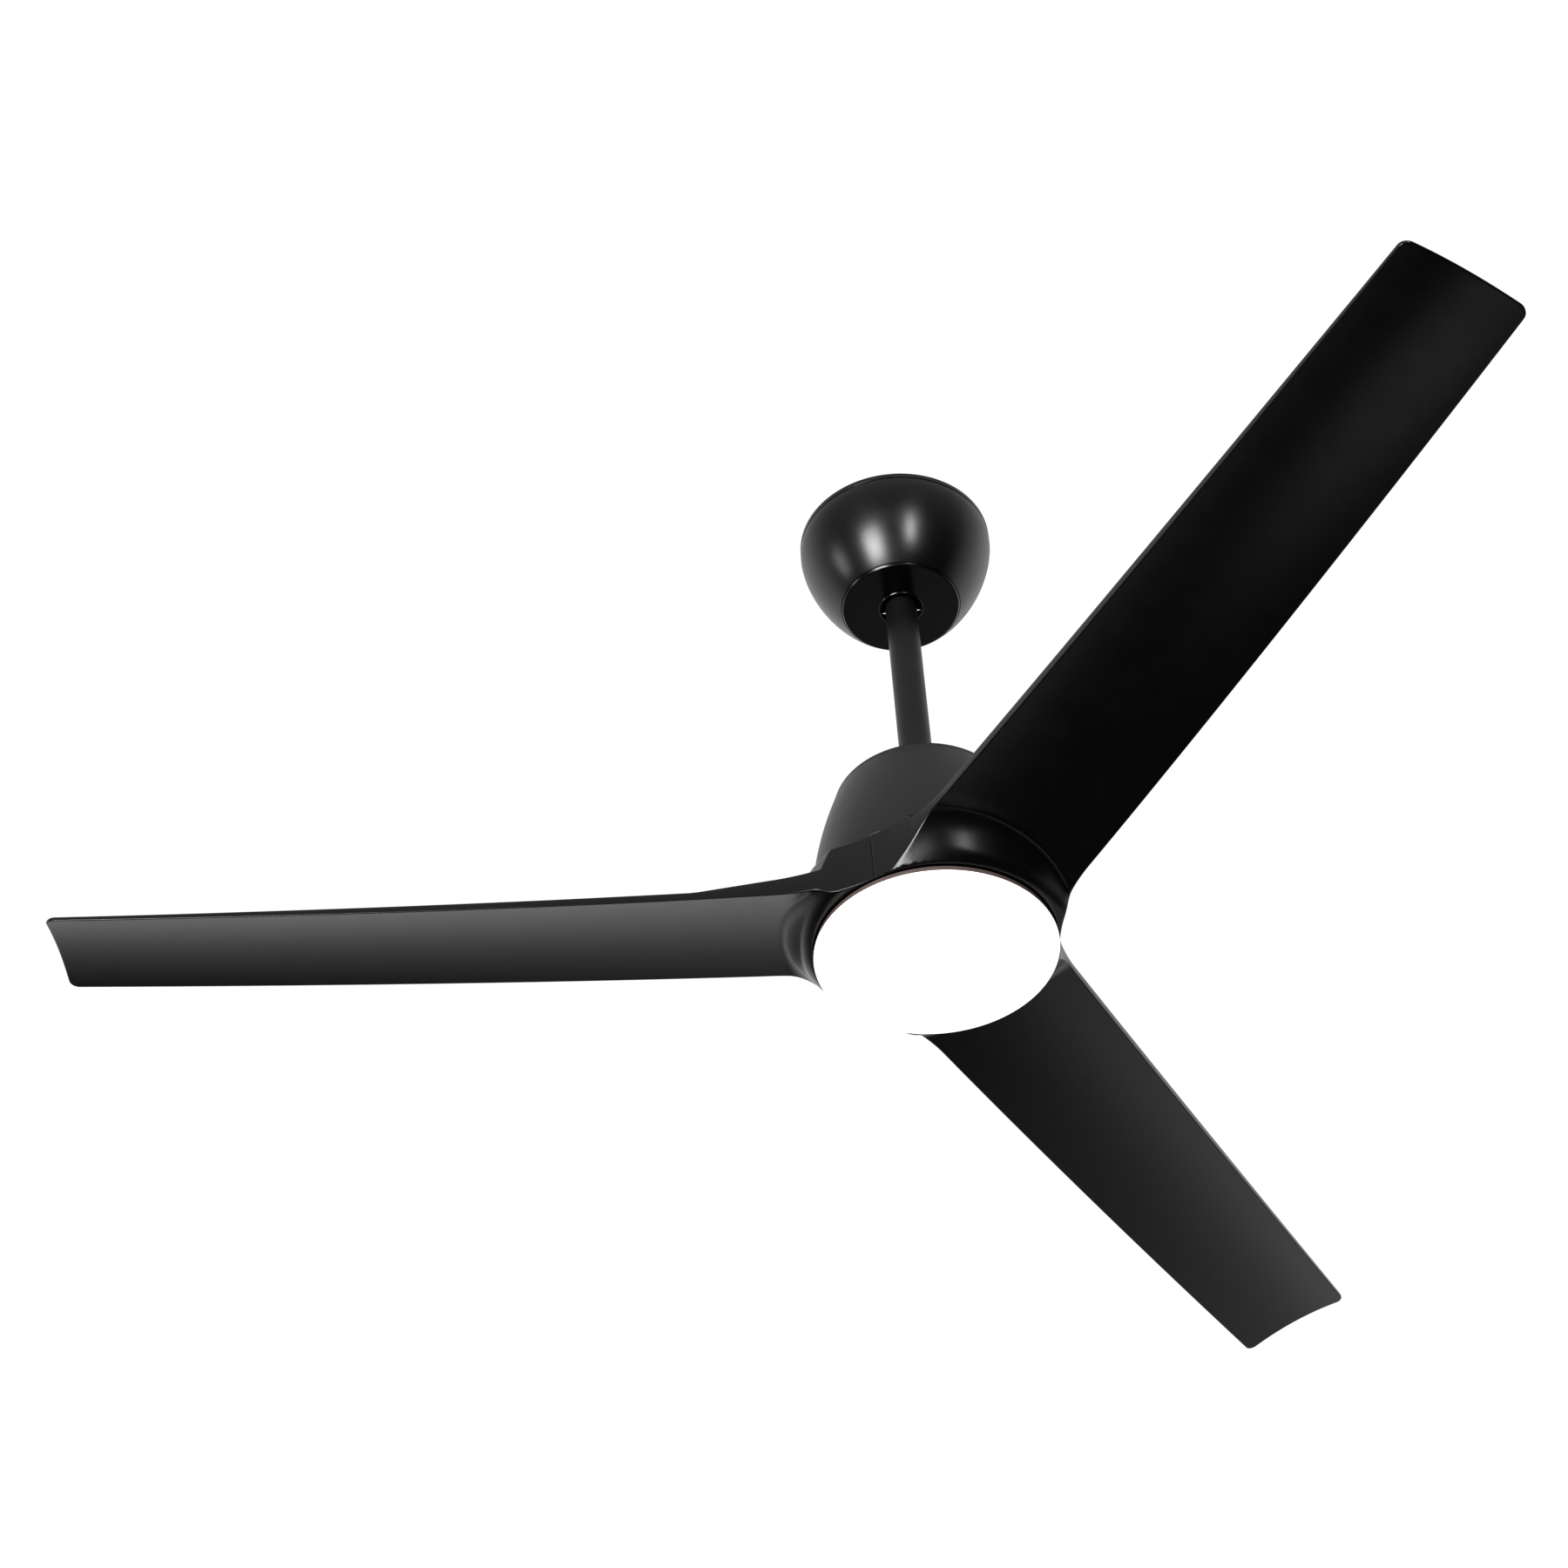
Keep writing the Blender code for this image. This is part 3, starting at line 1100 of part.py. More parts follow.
def plan_stations():
    """Rows across the blade from tip to bore: (reach at the ends, angle at the ends, straightness)."""
    rows = []
    corner_start = TIP_RADIUS - TIP_CORNER
    for degrees in (90, 60, 30):
        along = corner_start + TIP_CORNER * math.sin(math.radians(degrees))
        loss = TIP_CORNER * (1 - math.cos(math.radians(degrees)))
        half = half_width(along) - loss
        rows.append((math.hypot(along, half), math.atan2(half, along), 1.0))
    tangent, centre, radius = root_arc()
    straight_steps = 12
    for step in range(straight_steps + 1):
        share = step / straight_steps
        along = corner_start + (tangent - corner_start) * (1 - (1 - share) ** 1.5)
        half = half_width(along)
        rows.append((math.hypot(along, half), math.atan2(half, along), 1.0))
    half_pitch = math.pi / BLADE_COUNT
    centre_x = centre * math.cos(half_pitch)
    centre_y = centre * math.sin(half_pitch)
    first = math.atan2(half_width(tangent) - centre_y, tangent - centre_x)
    last = half_pitch - math.pi
    arc_steps = 9
    split = SPLIT_GAP / HUB_RADIUS
    for step in range(1, arc_steps + 1):
        share = step / arc_steps
        angle = first + (last - first) * share
        x = centre_x + radius * math.cos(angle)
        y = centre_y + radius * math.sin(angle)
        end_angle = min(math.atan2(y, x), half_pitch - split)
        rows.append((math.hypot(x, y), end_angle, (1 - share) ** 1.2))
    return rows


def blade_form():
    """One blade with its third of the hub ring, along +X: top and underside on one plan grid."""
    columns = 9
    form = bmesh.new()
    top_rows = []
    low_rows = []

    def add_row(reach, end_angle, straight, top_level, low_level):
        top_row = []
        low_row = []
        for column in range(columns + 1):
            angle = end_angle * (2 * column / columns - 1)
            radius = reach * (math.cos(end_angle) / math.cos(angle)) ** straight
            x = radius * math.cos(angle)
            y = radius * math.sin(angle)
            top_z = topside(x, y) if top_level is None else top_level
            low_z = underside(x, y) if low_level is None else low_level
            top_row.append(form.verts.new((x, y, top_z)))
            low_row.append(form.verts.new((x, y, low_z)))
        top_rows.append(top_row)
        low_rows.append(low_row)

    for reach, end_angle, straight in plan_stations():
        add_row(reach, end_angle, straight, None, None)
    half_pitch = math.pi / BLADE_COUNT
    flange_level = RING_TOP - FLANGE_THICKNESS
    for radius, low_level in ((HUB_BORE, RIM_LEVEL), (HUB_BORE - 0.0004, flange_level),
                              (FLANGE_RADIUS, flange_level)):
        add_row(radius, half_pitch - SPLIT_GAP / radius, 0.0, RING_TOP, low_level)

    for rows in (top_rows, low_rows):
        for near, far in zip(rows, rows[1:]):
            for column in range(columns):
                form.faces.new((near[column], near[column + 1], far[column + 1], far[column]))
    for near, far, near_low, far_low in zip(top_rows, top_rows[1:], low_rows, low_rows[1:]):
        for column in (0, columns):
            form.faces.new((near[column], far[column], far_low[column], near_low[column]))
    for top_row, low_row in ((top_rows[0], low_rows[0]), (top_rows[-1], low_rows[-1])):
        for column in range(columns):
            form.faces.new((top_row[column], low_row[column], low_row[column + 1], top_row[column + 1]))
    return form


def blade_screw_angles():
    first = -BLADE_SCREW_SPREAD * (BLADE_SCREWS - 1) / 2
    return [first + BLADE_SCREW_SPREAD * i for i in range(BLADE_SCREWS)]


def make_blades(parent):
    """Three copies of one blade mesh, each turned about the fan's axis."""
    pattern = add_object("blade_1", blade_form(), black_satin())
    for degrees in blade_screw_angles():
        x, y, _ = on_circle(BLADE_SCREW_CIRCLE, degrees)
        low = RING_TOP - FLANGE_THICKNESS - PAST
        cut(pattern, rod_form((x, y, low), (x, y, RING_TOP + PAST), MAIN_SHANK + TOUCH))
    blades = [pattern]
    for index in range(2, BLADE_COUNT + 1):
        copy = bpy.data.objects.new(f"blade_{index}", pattern.data)
        bpy.context.scene.collection.objects.link(copy)
        blades.append(copy)
    for blade, degrees in zip(blades, spaced_angles(BLADE_COUNT, FIRST_BLADE_ANGLE)):
        attach(blade, parent)
        blade.matrix_parent_inverse = Matrix.Identity(4)
        blade.location = -Vector(parent.location)
        blade.rotation_euler = (0, 0, math.radians(degrees))
    return blades


def make_blade_carrier(parent):
    """Plate under the rotor that the blade flanges are screwed to."""
    inner = SHAFT_FIT + SLIP * 2
    outline = [
        (inner, CARRIER_TOP),
        (inner, CARRIER_BOTTOM),
        (CARRIER_RADIUS, CARRIER_BOTTOM),
        (CARRIER_RADIUS, CARRIER_TOP),
    ]
    carrier = turned("blade_carrier", outline, zinc_steel(), parent, MEDIUM_ROUND)
    places = [on_circle(CARRIER_SCREW_CIRCLE, angle) for angle in spaced_angles(3, FIRST_BLADE_ANGLE)]
    for blade_angle in spaced_angles(BLADE_COUNT, FIRST_BLADE_ANGLE):
        places += [on_circle(BLADE_SCREW_CIRCLE, blade_angle + angle) for angle in blade_screw_angles()]
    for x, y, _ in places:
        cut(carrier, rod_form((x, y, CARRIER_BOTTOM - PAST), (x, y, CARRIER_TOP + PAST), MAIN_SHANK + TOUCH))
    return carrier


def make_rotor_screws(parent):
    """Screws that hold the carrier to the rotor, and each blade to the carrier."""
    length = CARRIER_THICKNESS + ROTOR_WALL
    for index, degrees in enumerate(spaced_angles(3, FIRST_BLADE_ANGLE), start=1):
        place = on_circle(CARRIER_SCREW_CIRCLE, degrees, CARRIER_BOTTOM - TOUCH)
        screw(f"carrier_screw_{index}", place, (0, 0, 1), MAIN_SHANK, MAIN_HEAD, MAIN_HEAD_HEIGHT,
              length, parent)
    length = FLANGE_THICKNESS + CARRIER_THICKNESS
    under = RING_TOP - FLANGE_THICKNESS - TOUCH
    for index, blade_angle in enumerate(spaced_angles(BLADE_COUNT, FIRST_BLADE_ANGLE), start=1):
        for number, degrees in enumerate(blade_screw_angles(), start=1):
            place = on_circle(BLADE_SCREW_CIRCLE, blade_angle + degrees, under)
            screw(f"blade_{index}_screw_{number}", place, (0, 0, 1), MAIN_SHANK, MAIN_HEAD,
                  MAIN_HEAD_HEIGHT, length, parent)


# ---- Light ------------------------------------------------------------------------------------
def make_light_plate(parent):
    """Pan on the shaft: plate, skirt round the bezel, pillars for the LED board."""
    hole = SHAFT_TIP_RADIUS + TOUCH
    skirt_bottom = LIGHT_PLATE_TOP - PAN_HEIGHT
    outline = [
        (hole, LIGHT_PLATE_TOP),
        (hole, LIGHT_PLATE_BOTTOM),
        (PAN_RADIUS - LIGHT_PLATE, LIGHT_PLATE_BOTTOM),
        (PAN_RADIUS - LIGHT_PLATE, skirt_bottom),
        (PAN_RADIUS, skirt_bottom),
        (PAN_RADIUS, LIGHT_PLATE_TOP),
    ]
    plate = turned("light_plate", outline, zinc_steel(), parent)
    low = LED_BOARD_TOP + TOUCH
    for degrees in pillar_angles():
        x, y, _ = on_circle(PILLAR_CIRCLE, degrees)
        add(plate, rod_form((x, y, low), (x, y, LIGHT_PLATE_TOP - LIGHT_PLATE / 2), PILLAR_RADIUS))
    for degrees in pillar_angles():
        x, y, _ = on_circle(PILLAR_CIRCLE, degrees)
        cut(plate, rod_form((x, y, low - PAST), (x, y, low + 0.008), SMALL_SHANK + TOUCH))
    return plate


def pillar_angles():
    return spaced_angles(3, 210)


def make_shaft_nut(parent):
    """Hexagon nut that holds the light plate up against the shaft's shoulder."""
    top = LIGHT_PLATE_BOTTOM - TOUCH
    corners = [on_circle(NUT_RADIUS, angle) for angle in spaced_angles(6)]
    form = prism_form([(corner.x, corner.y) for corner in corners], top - NUT_HEIGHT, top)
    nut = add_object("shaft_nut", form, zinc_steel(), parent)
    hole = SHAFT_TIP_RADIUS + TOUCH
    return cut(nut, rod_form((0, 0, top - NUT_HEIGHT - PAST), (0, 0, top + PAST), hole, MEDIUM_ROUND))


def make_led_driver(parent):
    length, width, height = DRIVER_SIZE
    top = LIGHT_PLATE_BOTTOM - TOUCH
    low = (-length / 2, DRIVER_PLACE - width / 2, top - height)
    form = box_form(low, (length / 2, DRIVER_PLACE + width / 2, top))
    bmesh.ops.bevel(form, geom=form.edges, offset=0.0012, segments=1, affect="EDGES")
    return add_object("led_driver", form, board_white(), parent)


def make_led_board(parent):
    """Round board with a ring of LED chips on its lower face."""
    bottom = LED_BOARD_TOP - BOARD_THICKNESS
    outline = [(0.0, LED_BOARD_TOP), (LED_BOARD_RADIUS, LED_BOARD_TOP), (LED_BOARD_RADIUS, bottom), (0.0, bottom)]
    board = turned("led_board", outline, board_white(), parent, closed=False)
    length, width, height = LED_SIZE
    for degrees in spaced_angles(LED_RING_COUNT, 15):
        chip = box_form((-length / 2, -width / 2, bottom - height), (length / 2, width / 2, bottom + 0.0004))
        place = on_circle(LED_BOARD_RADIUS - LED_RING_INSET, degrees)
        turn = Matrix.Rotation(math.radians(degrees), 4, "Z")
        bmesh.ops.transform(chip, verts=chip.verts, matrix=Matrix.Translation(place) @ turn)
        add(board, chip)
    for degrees in pillar_angles():
        x, y, _ = on_circle(PILLAR_CIRCLE, degrees)
        cut(board, rod_form((x, y, bottom - PAST), (x, y, LED_BOARD_TOP + PAST), SMALL_SHANK + TOUCH))
    return board


def make_led_screws(parent):
    under = LED_BOARD_TOP - BOARD_THICKNESS - TOUCH
    for index, degrees in enumerate(pillar_angles(), start=1):
        place = on_circle(PILLAR_CIRCLE, degrees, under)
        screw(f"led_screw_{index}", place, (0, 0, 1), SMALL_SHANK, SMALL_HEAD, SMALL_HEAD_HEIGHT,
              BOARD_THICKNESS + 0.005, parent)


def lug_level():
    """Top of the bayonet lugs, inside the bezel's slots."""
    return BEZEL_BOTTOM + DIFFUSER_SKIRT - LUG_HEIGHT / 2


def make_light_bezel(parent):
    """Dark ring under the hub: flange in sight, upstand inside the pan with the bayonet slots."""
    outer = LIGHT_RADIUS - 0.0005
    outline = [
        (BEZEL_BORE, BEZEL_TOP + BEZEL_RISE),
        (BEZEL_BORE, BEZEL_BOTTOM),
        (outer - 0.0006, BEZEL_BOTTOM),
        (outer, BEZEL_BOTTOM + 0.0006),
        (outer, BEZEL_TOP),
        (BEZEL_RADIUS, BEZEL_TOP),
        (BEZEL_RADIUS, BEZEL_TOP + BEZEL_RISE),
    ]
    bezel = turned("light_bezel", outline, black_plastic(), parent)
    margin = 1.5
    for degrees in spaced_angles(LUG_COUNT, 90):
        first = degrees - LUG_ANGLE / 2 - margin
        last = degrees + LUG_ANGLE / 2 + TWIST_ANGLE + margin
        low = lug_level() - LUG_HEIGHT - SLIP
        high = lug_level() + SLIP
        cut(bezel, sector_form(BEZEL_BORE - 0.002, BEZEL_RADIUS + 0.002, low, high, first, last))
    return bezel


def make_diffuser(parent):
    """Shallow opal cup: domed face, round rim, skirt with three bayonet lugs."""
    top = BEZEL_BOTTOM - TOUCH
    bottom = top - DIFFUSER_RIM
    skirt_top = BEZEL_BOTTOM + DIFFUSER_SKIRT
    skirt_inner = SKIRT_RADIUS - DIFFUSER_WALL
    steps = 4
    face = []
    back = []
    for step in range(steps + 1):
        radius = (LIGHT_RADIUS - 0.0020) * step / steps
        face.append((radius, bottom - DIFFUSER_DOME * (1 - (radius / LIGHT_RADIUS) ** 2)))
    for step in range(steps):
        radius = skirt_inner * (1 - step / steps)
        back.append((radius, bottom + DIFFUSER_WALL - DIFFUSER_DOME * (1 - (radius / LIGHT_RADIUS) ** 2)))
    back.append((0.0, bottom + DIFFUSER_WALL - DIFFUSER_DOME))
    outline = face + [
        (LIGHT_RADIUS - 0.0006, bottom + 0.0003),
        (LIGHT_RADIUS, bottom + 0.0007),
        (LIGHT_RADIUS, top),
        (SKIRT_RADIUS, top),
        (SKIRT_RADIUS, skirt_top),
        (skirt_inner, skirt_top),
    ] + back
    diffuser = turned("diffuser", outline, opal(), parent, closed=False)
    outer = BEZEL_RADIUS - SLIP / 2
    for degrees in spaced_angles(LUG_COUNT, 90):
        first = degrees - LUG_ANGLE / 2
        lug = sector_form(SKIRT_RADIUS - DIFFUSER_WALL / 2, outer, lug_level() - LUG_HEIGHT, lug_level(),
                          first, first + LUG_ANGLE, 2)
        add(diffuser, lug)
    return diffuser


def main():
    clear_scene()
    ceiling = joint_empty("ceiling_mount", (0, 0, 0))
    rocker = joint_empty("liner_pivot", BALL_CENTRE)
    stem = joint_empty("stem_pivot", BALL_CENTRE)
    rotor = joint_empty("rotor_axis", (0, 0, RING_TOP))
    light = joint_empty("diffuser_axis", (0, 0, BEZEL_BOTTOM))

    make_hanger_bracket(ceiling)
    make_hanger_cup(ceiling)
    make_canopy_shell(ceiling)
    make_trim_ring(ceiling)
    make_canopy_cover(ceiling)
    make_canopy_screws(ceiling)
    make_wiring_boxes(ceiling)

    make_cup_liner(rocker)

    make_hanger_ball(stem)
    make_ball_fasteners(stem)
    make_downrod(stem)
    make_leads(stem)
    make_shaft_yoke(stem)
    make_yoke_fasteners(stem)
    make_motor_shaft(stem)
    make_motor_housing(stem)
    make_housing_screws(stem)
    make_drive_board(stem)
    make_stator_core(stem)
    make_windings(stem)
    make_light_plate(stem)
    make_shaft_nut(stem)
    make_led_driver(stem)
    make_led_board(stem)
    make_led_screws(stem)
    make_light_bezel(stem)

    make_rotor_shells(rotor)
    make_bearings(rotor)
    make_magnet_ring(rotor)
    make_blade_carrier(rotor)
    make_rotor_screws(rotor)
    make_blades(rotor)

    make_diffuser(light)


main()
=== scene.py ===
"""Ceiling fan with light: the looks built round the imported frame.

One class per sub-assembly holds its sizes and makes its pieces as numpy grids; each finish is a
frozen dataclass that makes its own procedural material.  Lengths are in metres, Z is up and the
ceiling is at Z = 0.
"""

import json
import logging
import math
from dataclasses import dataclass, field
from enum import Enum

import bpy
import numpy as np
from mathutils import Matrix, Vector


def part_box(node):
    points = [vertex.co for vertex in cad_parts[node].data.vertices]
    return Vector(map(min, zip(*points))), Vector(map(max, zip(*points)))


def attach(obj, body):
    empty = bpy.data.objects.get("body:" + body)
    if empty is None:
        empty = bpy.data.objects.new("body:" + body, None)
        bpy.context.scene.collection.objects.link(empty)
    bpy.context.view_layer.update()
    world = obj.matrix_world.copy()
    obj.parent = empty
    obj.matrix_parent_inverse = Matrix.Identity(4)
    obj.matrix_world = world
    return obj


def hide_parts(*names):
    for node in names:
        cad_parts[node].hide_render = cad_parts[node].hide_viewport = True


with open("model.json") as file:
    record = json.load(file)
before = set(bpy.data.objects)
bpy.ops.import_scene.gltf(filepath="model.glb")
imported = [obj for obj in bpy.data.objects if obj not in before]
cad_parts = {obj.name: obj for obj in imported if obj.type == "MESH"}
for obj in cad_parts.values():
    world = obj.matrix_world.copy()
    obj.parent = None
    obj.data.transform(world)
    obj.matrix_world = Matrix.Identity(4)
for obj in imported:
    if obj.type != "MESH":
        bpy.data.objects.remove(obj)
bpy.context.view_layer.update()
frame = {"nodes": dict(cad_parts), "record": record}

log = logging.getLogger("fan")

Array = np.ndarray
Colour = tuple[float, float, float]
Span = tuple[float, float]
Stops = tuple[Span, ...]
Tree = bpy.types.NodeTree
Socket = bpy.types.NodeSocket
Object = bpy.types.Object


# ---- Shader nodes
def noise(tree: Tree, place: Socket, size: float, detail: float) -> Socket:
    """Cloudy pattern with features of about one size, in metres."""
    node = tree.nodes.new("ShaderNodeTexNoise")
    node.inputs["Scale"].default_value = 1.0 / size
    node.inputs["Detail"].default_value = detail
    tree.links.new(place, node.inputs["Vector"])
    return node.outputs["Fac"]


def map_range(tree: Tree, value: Socket, source: Span, target: Span = (0.0, 1.0)) -> Socket:
    """Straight map of one range to another, held at its ends."""
    node = tree.nodes.new("ShaderNodeMapRange")
    node.inputs["From Min"].default_value, node.inputs["From Max"].default_value = source
    node.inputs["To Min"].default_value, node.inputs["To Max"].default_value = target
    tree.links.new(value, node.inputs["Value"])
    return node.outputs["Result"]


def mix_colours(tree: Tree, share: Socket, low: Colour | Socket, high: Colour | Socket) -> Socket:
    """Mix of two colours, each a fixed colour or a socket."""
    node = tree.nodes.new("ShaderNodeMix")
    node.data_type = "RGBA"
    tree.links.new(share, node.inputs["Factor"])
    ends = [socket for socket in node.inputs if socket.type == "RGBA"]
    for socket, value in zip(ends, (low, high)):
        if isinstance(value, tuple):
            socket.default_value = (*value, 1.0)
        else:
            tree.links.new(value, socket)
    return next(socket for socket in node.outputs if socket.type == "RGBA")


def grey_ramp(tree: Tree, value: Socket, stops: Stops) -> Socket:
    """Grey looked up in stops of (place, brightness)."""
    node = tree.nodes.new("ShaderNodeValToRGB")
    elements = node.color_ramp.elements
    while len(elements) < len(stops):
        elements.new(0.5)
    for element, (place, grey) in zip(elements, stops):
        element.position = place
        element.color = (grey, grey, grey, 1.0)
    tree.links.new(value, node.inputs["Fac"])
    return node.outputs["Color"]


def scaled(colour: Colour, factor: float, lift: float = 0.0) -> Colour:
    """Colour times a factor plus a lift, no brighter than white."""
    return tuple(min(channel * factor + lift, 1.0) for channel in colour)


# ---- Finishes
LIT_WHITE = (1.0, 0.99, 0.975)
COAT_ROUGHNESS = 0.12

# Slow clouds of colour: size in metres, detail, and the part of the pattern that is used.
CLOUD_SIZE, CLOUD_DETAIL, CLOUD_SPAN = 0.045, 4.0, (0.35, 0.65)

# Specks: size in grains, detail, part of the pattern, strongest share, and how light they are.
SPECK_GRAINS, SPECK_DETAIL, SPECK_SPAN, SPECK_SHARE, SPECK_LIGHT = 1.7, 1.0, (0.60, 0.78), 0.5, 1.35

# Lighter edges, partly from rubbing and partly a painted edge highlight: the range of pointiness that
# counts as an edge, and how light they are.
EDGE_SPAN, WORN_AND_SHEEN_LIGHT, WORN_AND_SHEEN_LIFT = (0.52, 0.62), 2.4, 0.006

# Smears of roughness: size, detail, part of the pattern, and the least and greatest share.
SMEAR_SIZE, SMEAR_DETAIL, SMEAR_SPAN, SMEAR_SHARES = 0.02, 5.0, (0.3, 0.7), (0.93, 1.07)

GRAIN_DETAIL = 2.0


class Grain(Enum):
    """How the fine relief of a finish runs."""

    EVEN = (1.0, 1.0, 1.0)
    ACROSS_X = (0.04, 1.0, 1.0)
    UP_Z = (1.0, 1.0, 0.05)
    LAYERED = (0.02, 0.02, 1.0)


@dataclass(frozen=True)
class Finish:
    """One surface finish.

    Args:
        name: Material name.
        colour: Base colour, linear.
        roughness: Mean roughness of the surface.
        metallic: 1 for bare metal.
        specular: Strength of the mirror-like part of a plastic or a paint.
        coat: Clear layer over the colour.
        grain: Direction of the fine relief.
        grain_size: Size of one grain of the relief.
        grain_depth: Height of the relief.
        mottle: Share by which the colour wanders over the surface.
        edge_wear_and_sheen: How far edges lighten, by rubbing and by a painted edge highlight, 0 for
            none.
        glow: Strength of the light that the surface gives off.
    """

    name: str
    colour: Colour
    roughness: float
    metallic: float = 0.0
    specular: float = 0.5
    coat: float = 0.0
    grain: Grain = Grain.EVEN
    grain_size: float = 0.0009
    grain_depth: float = 0.00002
    mottle: float = 0.10
    edge_wear_and_sheen: float = 0.0
    glow: float = 0.0

    def material(self) -> bpy.types.Material:
        """Make the material, or fetch it where it has been made already.

        Returns:
            The node material of this finish.
        """
        made = bpy.data.materials.get(self.name)
        if made is not None:
            return made
        made = bpy.data.materials.new(self.name)
        made.use_nodes = True
        made.diffuse_color = (*self.colour, 1.0)
        tree = made.node_tree
        shader = tree.nodes["Principled BSDF"]
        shader.inputs["Metallic"].default_value = self.metallic
        shader.inputs["Specular IOR Level"].default_value = self.specular
        shader.inputs["Coat Weight"].default_value = self.coat
        shader.inputs["Coat Roughness"].default_value = COAT_ROUGHNESS
        place = tree.nodes.new("ShaderNodeTexCoord").outputs["Object"]
        tree.links.new(self._colour(tree, place), shader.inputs["Base Color"])
        tree.links.new(self._roughness(tree, place), shader.inputs["Roughness"])
        tree.links.new(self._relief(tree, place), shader.inputs["Normal"])
        if self.glow > 0:
            shader.inputs["Emission Color"].default_value = (*LIT_WHITE, 1.0)
            shader.inputs["Emission Strength"].default_value = self.glow
        return made

    def _colour(self, tree: Tree, place: Socket) -> Socket:
        """Base colour: slow clouds and fine specks, with lighter edges from rubbing and from a painted
        edge highlight.
        """
        clouds = map_range(tree, noise(tree, place, CLOUD_SIZE, CLOUD_DETAIL), CLOUD_SPAN)
        colour = mix_colours(tree, clouds, scaled(self.colour, 1 - self.mottle),
                             scaled(self.colour, 1 + self.mottle))
        pattern = noise(tree, place, self.grain_size * SPECK_GRAINS, SPECK_DETAIL)
        specks = map_range(tree, pattern, SPECK_SPAN, (0.0, SPECK_SHARE))
        colour = mix_colours(tree, specks, colour, scaled(self.colour, SPECK_LIGHT))
        # Edges lightened by pointiness: partly rubbing, partly a painted edge highlight.
        if self.edge_wear_and_sheen > 0:
            edge = tree.nodes.new("ShaderNodeNewGeometry").outputs["Pointiness"]
            edge_rub_and_sheen = map_range(tree, edge, EDGE_SPAN, (0.0, self.edge_wear_and_sheen))
            colour = mix_colours(tree, edge_rub_and_sheen, colour, scaled(self.colour, WORN_AND_SHEEN_LIGHT, WORN_AND_SHEEN_LIFT))
        return colour

    def _roughness(self, tree: Tree, place: Socket) -> Socket:
        """Roughness: wanders a little, as a handled or sprayed surface does."""
        low, high = (self.roughness * share for share in SMEAR_SHARES)
        return map_range(tree, noise(tree, place, SMEAR_SIZE, SMEAR_DETAIL), SMEAR_SPAN, (low, high))

    def _relief(self, tree: Tree, place: Socket) -> Socket:
        """Relief: fine grain, stretched where the finish is brushed, stacked or wound."""
        mapping = tree.nodes.new("ShaderNodeMapping")
        mapping.inputs["Scale"].default_value = self.grain.value
        tree.links.new(place, mapping.inputs["Vector"])
        bump = tree.nodes.new("ShaderNodeBump")
        bump.inputs["Strength"].default_value = 1.0
        bump.inputs["Distance"].default_value = self.grain_depth
        grain = noise(tree, mapping.outputs["Vector"], self.grain_size, GRAIN_DETAIL)
        tree.links.new(grain, bump.inputs["Height"])
        return bump.outputs["Normal"]


